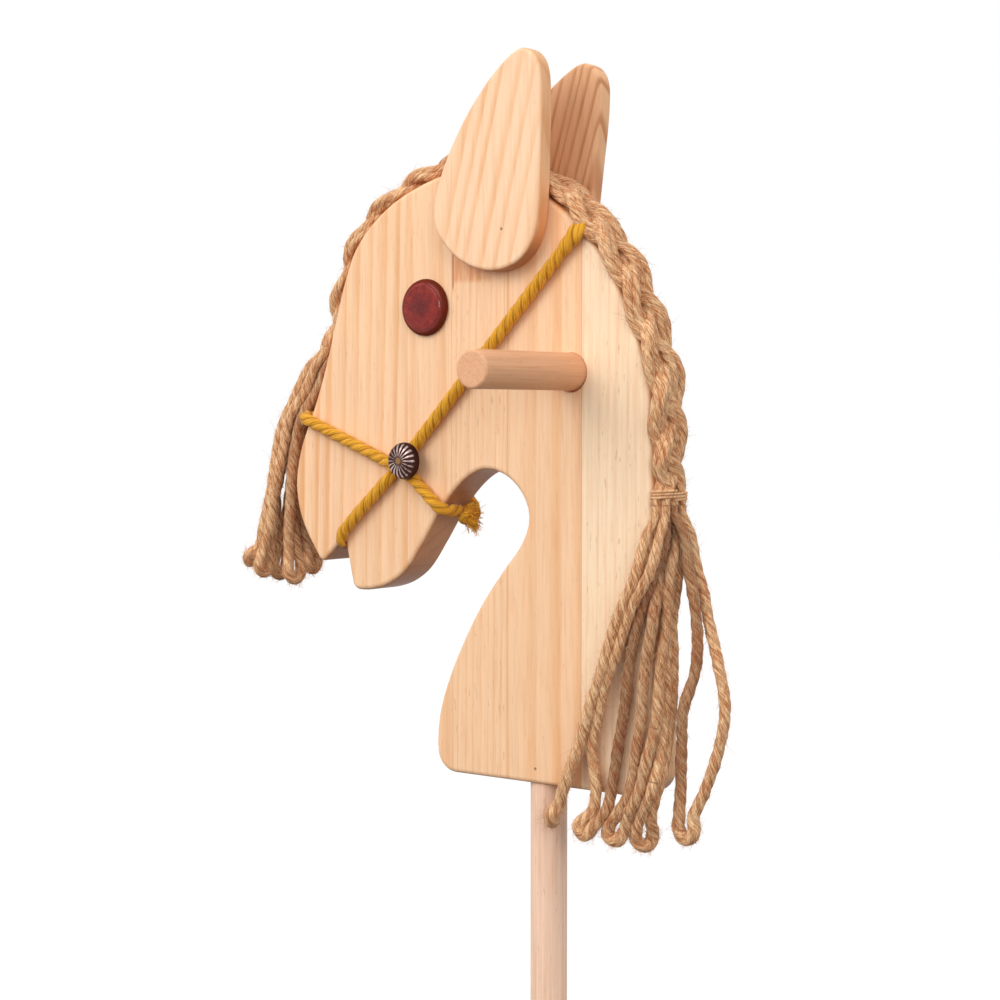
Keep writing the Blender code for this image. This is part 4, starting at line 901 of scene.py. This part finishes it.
def hairs(name, roots, ways, lengths, radius, curl, seed, points=6, sides=3):
    """Loose fibres as one mesh. Each runs from its root along its way for its length, bends by curl
    along a random direction as the square of the distance, and thins to a tip."""
    chance = np.random.default_rng(seed)
    count = len(roots)
    t = np.linspace(0, 1, points)[None, :, None]
    bend = chance.normal(size=(count, 3)) * curl
    lines = roots[:, None] + (ways[:, None] * t + bend[:, None] * t ** 2) * lengths[:, None, None]
    way = unit(np.gradient(lines, axis=1))
    side = unit(np.cross(way, unit(chance.normal(size=(count, 1, 3)))))
    other = np.cross(way, side)
    angle = round_angles(sides)
    thin = radius * (1 - 0.7 * t[..., 0])[..., None, None]
    spin = np.cos(angle)[None, None, :, None], np.sin(angle)[None, None, :, None]
    rings = lines[:, :, None] + thin * (spin[0] * side[:, :, None] + spin[1] * other[:, :, None])
    starts = (np.arange(count) * points * sides)[:, None, None]
    one = ring_quads(points, sides)
    first = np.arange(sides)[::-1]
    caps = np.stack([first, first[::-1] + (points - 1) * sides])
    quads, caps = (one + starts).reshape(-1, 4), (caps + starts).reshape(-1, sides)
    own = np.repeat(chance.uniform(0, 1, count), len(one) * 4)
    own = np.concatenate([own, np.repeat(chance.uniform(0, 1, count), 2 * sides)])
    crest = np.ones(count * points * sides)
    return new_mesh(name, rings, quads.tolist() + caps.tolist(), np.repeat(own, 2), crest=crest)


chance = np.random.default_rng(5)
for name, (way, count) in FRAYS.items():
    way = unit(way)
    roots = knot_centre + way * FRAY_FROM_MIDDLE + chance.normal(size=(count, 3)) * FRAY_SPREAD
    ways = unit(way + chance.normal(size=(count, 3)) * FRAY_FAN)
    lengths = chance.uniform(FRAY_SHORT, FRAY_LONG, count)
    fray = hairs("knot_fray_" + name, roots, ways, lengths, FRAY_RADIUS, curl=0.3, seed=7, sides=4)
    piece(fray, [mustard], "yellow_cord")

# The rosettes: domed nail heads of thin metal, pressed with eighteen petals round a small boss. They
# are coloured dark, with light petal crests, as a painted reflection with painted highlights. Each
# has a hollow underside and a shank in the head.
ROSETTE_RADIUS, ROSETTE_RISE, ROSETTE_SHEET, DOME_FULLNESS = 11.4 * MM, 7.0 * MM, 0.9 * MM, 0.5
ROSETTE_X, ROSETTE_Z = -93.0 * MM, 694.6 * MM
ROSETTE_RIM = 2 * CORD_RADIUS + 4 * SEAT_GAP
SHANK_RADIUS, SHANK_IN_WOOD = 1.0 * MM, 12.0 * MM
PETALS, PETAL_DEPTH = 18, 0.55 * MM
# Shares of the radius over which the petals rise from the boss and sink to the rim.
PETALS_RISE, PETALS_SINK = (0.16, 0.36), (0.85, 0.97)
BOSS_RADIUS, BOSS_RISE = 1.7 * MM, 0.7 * MM
# The way in which the painted highlights on the petals are strongest, and the opposite way.
HIGHLIGHT_TOWARDS = math.radians(55)
copper, tree = surface("aged_copper")
petal, boss = attribute(tree, "petal"), attribute(tree, "boss")
tarnish = speckle(object_place(tree), (700.0, 700.0, 700.0), 3.0)
# Painted highlights on the petals' crests, broken up by tarnish; dark where there are none.
tarnish_and_highlight = petal + (tarnish - 0.5) * 0.6
colour = tint(fade(tarnish_and_highlight, 0.3, 0.95), paint(66, 40, 36), paint(200, 176, 170))
colour = tint(boss, colour, paint(222, 176, 118))
look(copper, Metallic=1.0, Base_Color=colour, Roughness=fade(tarnish_and_highlight, 0.2, 0.9, 0.5, 0.3))


def rosette_mesh(name, centre, side):
    """Shank, hollow underside and rim are turned. On the dome the height is the dome's own plus
    d·|cos(9a)|^0.7·s, a groove between petals at each zero, where s rises from the boss and falls
    to the rim."""
    sides = PETALS * 12
    inner = np.radians(np.linspace(84, 0, 14))
    outer = np.radians(np.concatenate([np.linspace(0, 78, 34), [81, 84, 87, 89]]))
    radii = np.concatenate([[0.3 * SHANK_RADIUS, SHANK_RADIUS, SHANK_RADIUS],
                            (ROSETTE_RADIUS - ROSETTE_SHEET) * np.cos(inner) ** DOME_FULLNESS,
                            ROSETTE_RADIUS * np.cos(outer) ** DOME_FULLNESS])
    hollow = ROSETTE_RISE - ROSETTE_SHEET
    shank = [-SHANK_IN_WOOD, 3 * SHANK_RADIUS - SHANK_IN_WOOD, ROSETTE_RIM + hollow]
    heights = np.concatenate([shank, ROSETTE_RIM + hollow * np.sin(inner),
                              ROSETTE_RIM + ROSETTE_RISE * np.sin(outer)])
    on_dome = np.arange(len(radii)) >= len(radii) - len(outer)
    angle = round_angles(sides)
    share = np.where(on_dome, radii / ROSETTE_RADIUS, 0.0)
    swell = np.interp(share, PETALS_RISE, (0, 1)) * np.interp(share, PETALS_SINK, (1, 0))
    ridge = np.abs(np.cos(PETALS / 2 * angle))[None] ** 0.7
    boss_here = np.where(on_dome, np.clip((BOSS_RADIUS - radii) / (0.35 * BOSS_RADIUS), 0, 1), 0.0)
    lift_up = PETAL_DEPTH * (ridge - 1) * swell[:, None] + BOSS_RISE * boss_here[:, None]
    keep = radii > 0.05 * MM
    r, h = np.repeat(radii[:, None], sides, 1), heights[:, None] + lift_up
    grid = np.stack([r * np.cos(angle), side * h, r * np.sin(angle)], -1)[keep] + centre
    # Painted highlights: the petals' crests are lighter, most towards one slant and the opposite one.
    shine = 0.62 + 0.38 * np.cos(angle - HIGHLIGHT_TOWARDS) ** 2
    petal = (ridge ** 3 * shine * np.clip(swell[:, None] * 1.3, 0, 1) + 0.15 * (1 - swell[:, None]))[keep]
    return skin(name, grid, petal=petal, boss=np.repeat(boss_here[keep][:, None], sides, 1))


for name, side in SIDES.items():
    mesh = rosette_mesh(name + "_rosette_pressed", (ROSETTE_X, side * HALF_BOARD, ROSETTE_Z), side)
    piece(mesh, [copper], "copper", name + "_rosette")

# The mane and the forelock: ten jute ropes, plaited in three strands along the edge of the head. At
# each end they hang down and come back up as five loops. Each run has a point in X and Y at each
# height, as on the CAD loops but moved by up to 8 mm to where the photograph shows it.
ROPE_DIAMETER, ROPE_TIED_DIAMETER, ROPE_FULL_REACH = 6.0 * MM, 4.4 * MM, 45.0 * MM
ROPE_PITCH, ROPE_ROUTE_STEP = 27.0 * MM, 1.5 * MM
ROPE_START_RADIUS, FOLD_BULGE, FOLD_RISE = ROPE_TIED_DIAMETER * 0.6, ROPE_DIAMETER * 0.8, ROPE_DIAMETER * 0.75
ROPE_FULLNESS, ROPE_BULB, BULB_REACH = 1.15, {"mane": 0.20, "forelock": 0.16}, 7.0 * MM
ROPE_WANDER, ROPE_UNEVEN = 0.4 * MM, 0.025
# The lengths over which a hanging rope grows thicker and thinner and sways, and a plaited one swells.
HANGING_WAVES, SWAY_WAVES, BRAID_WAVES = np.array(((5.3, 3.1), (8.3, 9.7), (4.7, 3.3))) * MM
BRAID_FRONT_Z, BRAID_BACK_Z = 261.0 * MM, 168.0 * MM
NECK_NEARER, NECK_OUT, NECK_TILT, NECK_PITCH, NECK_ROW = 8.2 * MM, 8.0 * MM, 12.0, 6.6 * MM, 3.9 * MM
SEWN_OUT, SEWN_PITCH, SEWN_ROW = 6.8 * MM, 5.4 * MM, 4.3 * MM
MANE_HEIGHTS = (150.0, 132.0, 107.0, 77.0, 50.0, 28.0, 5.0, -10.0)
MANE_RUNS = {
    "1a": ((82.5, -7.6), (78.5, -10.6), (67.6, -11.3), (56.2, -11.5), (46.8, -11.5), (39.0, -11.0),
           (29.5, -10.4), (22.5, -9.2)),
    "1b": ((83.0, -3.6), (78.5, -4.4), (64.6, -5.3), (53.3, -5.8), (43.7, -5.8), (35.2, -5.4),
           (25.7, -4.8), (19.3, -3.2)),
    "2a": ((90.0, -5.5), (86.0, -8.6), (72.4, -8.6), (60.6, -8.6), (50.8, -7.4), (45.0, -5.8),
           (47.0, -4.6), (44.0, -4.2)),
    "2b": ((90.0, 1.0), (85.8, -2.4), (76.5, -3.9), (69.5, -3.9), (65.5, -3.9), (62.0, -3.8),
           (57.0, -3.8), (53.2, -3.2)),
    "3a": ((85.4, 6.7), (86.2, 5.4), (85.0, -3.4), (80.4, -3.9), (77.0, -3.9), (74.4, -3.9),
           (69.8, -3.9), (61.0, -3.2)),
    "3b": ((91.5, 10.7), (92.0, 3.4), (90.0, 3.4), (87.4, 0.8), (86.6, -1.6), (83.0, -4.6),
           (76.6, -4.6), (67.4, -2.2)),
    "4a": ((85.5, 14.0), (86.4, 13.0), (85.8, 8.8), (86.2, 7.8), (86.0, 7.0), (87.0, 1.4),
           (83.6, -3.0), (74.8, 0.8)),
    "4b": ((91.5, 17.8), (91.6, 12.6), (86.4, 15.4), (86.6, 14.4), (86.6, 13.8), (86.0, 8.6),
           (83.6, 4.0), (78.6, 5.0)),
    "5a": ((98.5, 8.0), (100.0, 9.0), (104.5, 11.0), (103.5, 12.0), (97.0, 9.6), (94.0, 12.0),
           (93.4, 13.4), (92.4, 13.0)),
    "5b": ((98.5, 15.0), (101.0, 17.0), (107.4, 18.2), (116.0, 16.0), (121.4, 15.0), (116.0, 15.0),
           (108.0, 15.0), (101.4, 14.2)),
}
MANE_LOW_POINTS = ((17.0, -6.4, -19.0), (40.5, -5.6, -24.0), (58.4, -1.0, -26.0),
                   (71.8, 7.8, -29.0), (96.4, 14.0, -23.0))
FORELOCK_HEIGHTS = (250.0, 235.0, 217.0, 195.0, 169.0, 146.0, 131.0)
FORELOCK_RUNS = {
    "1a": ((-179.2, -6.4), (-188.4, -7.2), (-199.8, -7.5), (-206.8, -8.0), (-212.2, -8.4),
           (-218.6, -8.0), (-224.6, -7.4)),
    "1b": ((-179.9, 0.4), (-190.6, 0.4), (-204.5, 0.2), (-211.5, -0.8), (-217.7, -1.0),
           (-223.6, -1.4), (-227.5, -2.2)),
    "2a": ((-172.0, -8.9), (-180.0, -9.6), (-193.0, -9.6), (-200.0, -10.0), (-206.8, -10.6),
           (-211.5, -10.2), (-217.5, -9.8)),
    "2b": ((-173.0, -2.5), (-182.2, -2.2), (-197.0, -1.7), (-204.6, -2.4), (-211.6, -3.2),
           (-215.5, -3.4), (-217.5, -4.2)),
    "3a": ((-178.9, 6.7), (-189.0, 7.8), (-201.6, 6.4), (-210.0, 4.6), (-219.5, 4.6),
           (-219.0, 4.2), (-217.5, 3.2)),
    "3b": ((-172.7, 9.9), (-182.0, 12.2), (-198.0, 12.6), (-209.0, 11.6), (-214.0, 11.6),
           (-217.5, 11.0), (-216.5, 9.8)),
    "4a": ((-164.9, -5.9), (-172.4, -6.5), (-185.4, -7.6), (-191.0, -8.0), (-194.4, -8.6),
           (-195.5, -8.6), (-196.5, -7.8)),
    "4b": ((-166.1, 0.4), (-174.4, 0.9), (-189.4, -1.2), (-195.6, -1.4), (-198.4, -1.6),
           (-197.0, -1.8), (-195.0, -1.6)),
    "5a": ((-172.6, 3.6), (-181.4, 5.0), (-193.0, 5.6), (-199.0, 5.4), (-196.0, 5.0),
           (-196.0, 5.2), (-194.4, 5.8)),
    "5b": ((-165.6, 6.6), (-173.4, 8.0), (-185.6, 8.4), (-202.0, 12.4), (-198.0, 12.2),
           (-197.0, 12.2), (-194.4, 12.4)),
}
FORELOCK_LOW_POINTS = ((-234.0, -5.2, 121.0), (-219.4, -7.2, 115.0), (-218.0, 6.0, 112.5),
                       (-194.8, -4.6, 111.5), (-191.4, 9.2, 117.5))
# Where each rope leaves the braid: its row, counted outwards, and its place along the row.
MANE_PACKING = {
    "1b": (-1, -1.0), "3a": (-1, 0.0), "4a": (-1, 1.0),
    "1a": (0, -1.5), "2b": (0, -0.5), "3b": (0, 0.5), "4b": (0, 1.5),
    "2a": (1, -1.0), "5a": (1, 0.0), "5b": (1, 1.0),
}
FORELOCK_PACKING = {
    "1a": (1, -1.0), "1b": (1, 0.0), "3a": (1, 1.0),
    "2a": (0, -1.5), "2b": (0, -0.5), "5a": (0, 0.5), "3b": (0, 1.5),
    "4a": (-1, -1.0), "4b": (-1, 0.0), "5b": (-1, 1.0),
}
jute = fibre("jute_rope", paint(255, 217, 168), paint(204, 130, 80), paint(112, 54, 26), roughened=1.0,
             Length_Scale=140.0, Strand_Scale=3.4, Patches=0.85, Stray=0.35, Grooves=0.32)


def braid_edge():
    """Points and outward directions of the head's edge from the forelock to the tie."""
    normals = outward(head_line)
    x, z = head_line.T
    total = len(head_line)
    start = next(i for i in range(total) if x[i] < -0.1 and z[i - 1] < BRAID_FRONT_Z <= z[i])
    end = next(i for i in range(total) if x[i] > 0.05 and z[i - 1] > BRAID_BACK_Z >= z[i])
    spots = head_line[start - 1:end + 1]
    run = run_of(spots)

    def share(i, height):
        return (height - spots[i, 1]) / (spots[i + 1, 1] - spots[i, 1])

    first = run[1] * share(0, BRAID_FRONT_Z)
    last = run[-2] + (run[-1] - run[-2]) * share(len(run) - 2, BRAID_BACK_Z)
    at = np.linspace(first, last, round((last - first) / LINE_STEP))
    return read_off(at, run, spots), unit(read_off(at, run, normals[start - 1:end + 1])), at - first


edge_spots, edge_outs, edge_run = braid_edge()


def tilted(flat, high, tilt):
    """A section's points, turned by a tilt: how far out they are, and their Y."""
    return high * np.cos(tilt) + flat * np.sin(tilt), flat * np.cos(tilt) - high * np.sin(tilt)


def exits(spot, out, tied, packing):
    """Where the ten ropes leave an end of the braid, packed in three rows, and which way they go. The
    tied neck lies over the left edge of the board and leans with it."""
    along = np.array((-out[1], out[0])) if out[0] < 0 else np.array((out[1], -out[0]))
    nearer, middle, tilt, pitch, row = (
        (NECK_NEARER, NECK_OUT, math.radians(NECK_TILT), NECK_PITCH, NECK_ROW) if tied
        else (0.0, SEWN_OUT, 0.0, SEWN_PITCH, SEWN_ROW))
    starts = {}
    for key, (u, v) in packing.items():
        away, y = tilted(v * pitch, u * row, tilt)
        x, z = spot + out * (middle + away) + along * SEAT_GAP
        starts[key] = np.array((x, y - nearer, z))
    return starts, np.array((along[0], 0.0, along[1]))


def hanging_loop(start_a, start_b, leaving, heights, run_a, run_b, low, origin):
    """A loop's line: down one run, round the low point and up the other."""
    down, up = ([origin + np.array((x, y, z)) * MM for (x, y), z in zip(run, heights)]
                for run in (run_a, run_b))
    low = origin + np.array(low) * MM
    across = (down[-1] - up[-1]) * (1, 1, 0)
    bulge, rise = unit(across) * FOLD_BULGE, np.array((0, 0, FOLD_RISE))
    turn = [low + rise + bulge, low, low + rise - bulge]
    lead = leaving * ROPE_TIED_DIAMETER
    route = [start_a, start_a + lead] + down + turn + up[::-1] + [start_b + lead, start_b]
    return np.array(route), unit(np.cross(across, (0, 0, 1)))


# How far past the braid's end a rope has turned with its tassel.
BEND_LENGTH = 42.0 * MM
# Runs painted darker as shade among the other ropes, each with how much darker, and how far a run takes to
# get there.
PAINTED_SHADE_RUNS = {"mane_2b": 0.65, "mane_3a": 0.35, "mane_3b": 0.2, "mane_5a": 0.5, "forelock_3a": 0.35,
               "forelock_4a": 0.3, "forelock_4b": 0.35, "forelock_5a": 0.5, "forelock_5b": 0.5}
PAINTED_SHADE_AFTER = 45.0 * MM
# Loose fibres for each metre of rope, and how many times BULB_REACH from its lowest point a fold is.
FUZZ_ON_LOOPS, FUZZ_AT_FOLDS, FUZZ_ON_BRAID, FOLD_SHARE = 3000, 14000, 1500, 1.6
fuzz = {"horse": [], "mane_tassel": [], "forelock_tassel": []}


def bending(tassel, spot, leaving):
    """The two bodies that a tassel's ropes cross, and the points from the braid's end to where they
    have turned with the tassel."""
    start = np.insert(spot, 1, 0.0) + lift
    return "horse", tassel, tuple(start), tuple(start + leaving * BEND_LENGTH)


def remember_fuzz(body, line, radius, per_metre):
    """Keeps a rope's line, its radius and how many loose fibres will stand on it."""
    run = run_of(line)
    fuzz[body].append((line, run, np.broadcast_to(radius, len(line)), round(run[-1] * per_metre)))


def uneven(run, waves, first, second):
    """Shares of the thickness: two sines of these lengths, begun at these angles."""
    return 1 + ROPE_UNEVEN * (np.sin(run / waves[0] + first) + np.sin(run / waves[1] + second))


def hang(name, body, starts, leaving, heights, runs, low_points, origin):
    """One tassel's five loops. A rope grows to its full thickness as it leaves the braid, bulges at
    the fold by b·(e^(−d²) + e^(−d²/16)/2), sways by two sines, and stays clear of the head."""
    for number, low in enumerate(low_points, 1):
        a, b = f"{number}a", f"{number}b"
        route, across = hanging_loop(starts[a], starts[b], leaving, heights, runs[a], runs[b], low, origin)
        line = evenly(flowing(route, ROPE_ROUTE_STEP), LINE_STEP)
        run = run_of(line)
        share = np.clip(np.minimum(run, run[-1] - run) / ROPE_FULL_REACH, 0, 1)
        radius = ROPE_START_RADIUS + (ROPE_DIAMETER * ROPE_FULLNESS / 2 - ROPE_START_RADIUS) * share
        from_low = (run - run[np.argmin(line[:, 2])]) / BULB_REACH
        bulb = ROPE_BULB[name] * (np.exp(-from_low ** 2) + np.exp(-(from_low / 4) ** 2) / 2)
        radius = radius * (bulb + uneven(run, HANGING_WAVES, number, 2 * number))
        sway = share * ROPE_WANDER
        line[:, 0] += sway * np.sin(run / SWAY_WAVES[0] + 1.9 * number)
        line[:, 1] -= sway * np.abs(np.sin(run / SWAY_WAVES[1] + number))
        before_face = line[:, 1] < -HALF_BOARD - ROPE_DIAMETER / 2
        clear = np.minimum(line[:, 1], -HALF_BOARD - SEAT_GAP - radius)
        line[:, 1] = np.where(before_face & (name == "mane"), clear, line[:, 1])
        # Painted shade: some runs are darkened for the shade they hang in among the other ropes.
        painted_shade = [PAINTED_SHADE_RUNS.get(f"{name}_{side}", 0.0) for side in (a, b)]
        shade = np.where(from_low < 0, *painted_shade) * np.clip(abs(from_low) * BULB_REACH / PAINTED_SHADE_AFTER, 0, 1)
        line = line + lift
        mesh = laid_rope(f"{name}_loop_{number}_laid", line, radius, ROPE_PITCH, across, shade=shade,
                         groove=0.11, round_groove=1.7, phase=number * 1.7)
        rope = piece(mesh, [jute], "jute", f"{name}_loop_{number}", body=body)
        remember_fuzz(body[1], line, radius, FUZZ_ON_LOOPS)
        at_fold = np.abs(from_low) < FOLD_SHARE
        remember_fuzz(body[1], line[at_fold], radius[at_fold], FUZZ_AT_FOLDS)


mane_starts, mane_way = exits(edge_spots[-1], edge_outs[-1], True, MANE_PACKING)
forelock_starts, forelock_way = exits(edge_spots[0], edge_outs[0], False, FORELOCK_PACKING)
rides = {"horse": "horse", "mane_tassel": bending("mane_tassel", edge_spots[-1], mane_way),
         "forelock_tassel": bending("forelock_tassel", edge_spots[0], forelock_way)}
hang("mane", rides["mane_tassel"], mane_starts, mane_way, MANE_HEIGHTS, MANE_RUNS, MANE_LOW_POINTS,
     (0, -HALF_BOARD, 0))
hang("forelock", rides["forelock_tassel"], forelock_starts, forelock_way, FORELOCK_HEIGHTS, FORELOCK_RUNS,
     FORELOCK_LOW_POINTS, (-2 * CORD_RADIUS, 0, 0))

# The braid between them: three strands, each of three or four ropes that turn slowly round each
# other. At both ends every rope comes to where its loop begins. Behind the ears the braid is wider,
# and hangs over the board's left edge.
BRAID_TURN, SWIRL_TURN = 94.0 * MM, 206.8 * MM
SLIP_FROM, SLIP_TO = 222.0 * MM, 262.0 * MM
# Before and behind the ears: how far it lies to the left and off the edge, its tilt, and its ropes'
# sway, wave, spread across and spread in depth.
BRAID_BEFORE = np.array((0.0, 6.8, 0.0, 7.0, 2.2, 2.9, 1.7))
BRAID_BEHIND = np.array((7.9, 7.8, 12.0, 8.4, 2.5, 3.4, 1.9))
BRAID_ROPE_RADIUS = 3.0 * MM
END_REACH = 26.0 * MM
# Each strand's ropes: the run of the mane and the run of the forelock that each one becomes.
STRAND_ROPES = ((("1a", "2a"), ("2b", "2b"), ("1b", "1a")),
                (("3a", "1b"), ("5a", "3a"), ("3b", "4b")),
                (("4a", "4a"), ("4b", "5a"), ("5b", "5b"), ("2a", "3b")))


def off_board(out, y, room):
    """Moves points of a section across the board's edge out of its rounded shape to a distance."""
    corner = np.stack([out + BOARD_ROUNDING, np.abs(y) - (HALF_BOARD - BOARD_ROUNDING)], -1)
    ahead = np.maximum(corner, 0)
    length = np.linalg.norm(ahead, axis=-1)
    distance = length + np.minimum(corner.max(-1), 0) - BOARD_ROUNDING
    way = ahead / np.maximum(length, 1e-6)[:, None]
    short = np.maximum(room - distance, 0)
    return out + way[:, 0] * short, y + np.sign(y) * way[:, 1] * short


def plaited(strand, turn_share, run):
    """One rope of a strand in the section across the edge: how far out it is, and its Y. A strand
    goes across as sin p and in and out as sin 2p, a third of a turn after the one before, and its
    ropes turn round its middle on an ellipse."""
    t = np.clip((run - SLIP_FROM) / (SLIP_TO - SLIP_FROM), 0, 1)[:, None]
    slip = BRAID_BEFORE + (BRAID_BEHIND - BRAID_BEFORE) * eased(t)
    left, middle, tilt, sway, wave, across, deep = slip.T * MM
    tilt = np.radians(tilt / MM)
    p = 2 * math.pi * (run / BRAID_TURN + strand / 3)
    swirl = 2 * math.pi * (turn_share + run / SWIRL_TURN)
    flat = sway * np.sin(p) + across * np.cos(swirl) * 0.9
    high = wave * np.sin(2 * p) + deep * np.sin(swirl)
    out, y = tilted(flat, high, tilt)
    return off_board(middle + out, y - left, SEAT_GAP + BRAID_ROPE_RADIUS * 0.96)


length = edge_run[-1]
for strand, ropes in enumerate(STRAND_ROPES):
    parts = []
    for number, (mane_end, forelock_end) in enumerate(ropes):
        out, y = plaited(strand, number / len(ropes), edge_run)
        line = np.insert(edge_spots + edge_outs * out[:, None], 1, y, 1)
        ends = ((mane_starts, mane_end, length - edge_run), (forelock_starts, forelock_end, edge_run))
        for starts, key, left in ends:
            pull = eased(np.clip(1 - left / END_REACH, 0, 1))
            last = 0 if left[0] < left[-1] else -1
            along = np.insert(edge_spots - edge_spots[last], 1, 0.0, 1)
            line = line + (starts[key] + along - line) * pull[:, None]
        line = line + lift
        share = np.clip(np.minimum(edge_run, length - edge_run) / END_REACH, 0, 1)
        radius = ROPE_START_RADIUS + (BRAID_ROPE_RADIUS - ROPE_START_RADIUS) * share
        radius = radius * uneven(edge_run, BRAID_WAVES, 2 * number, 5 * strand)
        parts.append(laid_rope(f"part_{number}", line, radius, ROPE_PITCH, np.insert(edge_outs, 1, 0.0, 1),
                               sides=18, groove=0.15, round_groove=1.5, phase=number * 2.1 + strand))
        remember_fuzz("horse", line, radius, FUZZ_ON_BRAID)
    bm = bmesh.new()
    for part in parts:
        bm.from_mesh(part)
        bpy.data.meshes.remove(part)
    plait = bpy.data.meshes.new(f"braid_strand_{strand + 1}")
    bm.to_mesh(plait)
    bm.free()
    piece(plait, [jute], "jute", *(["mane_braid"] if strand == 0 else []))

# The tie: jute twine wound three turns round the neck of the braid.
TWINE_DIAMETER, TWINE_PITCH, TWINE_TURNS, TWINE_LAY = 1.6 * MM, 1.7 * MM, 3, 5.0 * MM
TWINE_ABOVE_END, TWINE_BOXINESS = 3.0 * MM, 0.8
TWINE_OUT, TWINE_Y = NECK_ROW + 2.4 * MM, NECK_PITCH * 1.5 + 1.7 * MM
turn = np.linspace(0, TWINE_TURNS, 600)
c, s = np.cos(2 * math.pi * turn), np.sin(2 * math.pi * turn)
high = TWINE_OUT * np.sign(c) * np.abs(c) ** TWINE_BOXINESS
flat = TWINE_Y * np.sign(s) * np.abs(s) ** TWINE_BOXINESS
out, y = tilted(flat, high, math.radians(NECK_TILT))
out, y = off_board(NECK_OUT + out, y - NECK_NEARER, SEAT_GAP + TWINE_DIAMETER / 2)
spot, way = edge_spots[-1], edge_outs[-1]
climb = TWINE_ABOVE_END + TWINE_PITCH * turn
line = evenly(np.stack([spot[0] + way[0] * out, y, spot[1] + way[1] * out + climb], 1) + lift, 0.4 * MM)
twine_jute = fibre("jute_twine", paint(255, 217, 168), paint(216, 150, 100), paint(150, 90, 54),
                   Length_Scale=140.0, Strand_Scale=1.2, Grooves=0.25)
twine = laid_rope("tie_laid", line, TWINE_DIAMETER / 2, TWINE_LAY, (0, 0, 1), strands=2, sides=12,
                  groove=0.08)
piece(twine, [twine_jute], "twine", "mane_tie")

# Loose fibres: short ends of jute that stand off every rope, more along it than away from it.
FIBRE_SHORT, FIBRE_LONG, FIBRE_RADIUS = 2.0 * MM, 6.5 * MM, 0.1 * MM
FIBRE_ROOT, FIBRE_LEAN = 0.85, (0.08, 0.6)
for body, ropes in fuzz.items():
    chance = np.random.default_rng(len(body))
    roots, ways = [], []
    for line, run, radius, count in ropes:
        at = chance.uniform(0, run[-1], count)
        way = unit(read_off(at, run, np.gradient(line, axis=0)))
        off = chance.normal(size=(count, 3))
        off = unit(off - way * np.sum(off * way, 1, keepdims=True))
        roots.append(read_off(at, run, line) + off * np.interp(at, run, radius)[:, None] * FIBRE_ROOT)
        away = off * chance.uniform(*FIBRE_LEAN, (count, 1))
        ways.append(unit(away + way * chance.choice((-1, 1), (count, 1))))
    roots, ways = np.vstack(roots), np.vstack(ways)
    lengths = chance.uniform(FIBRE_SHORT, FIBRE_LONG, len(roots))
    hair = hairs(f"loose_fibres_{body}", roots, ways, lengths, FIBRE_RADIUS, curl=0.35, seed=11, points=4)
    piece(hair, [jute], "jute", body=rides[body])
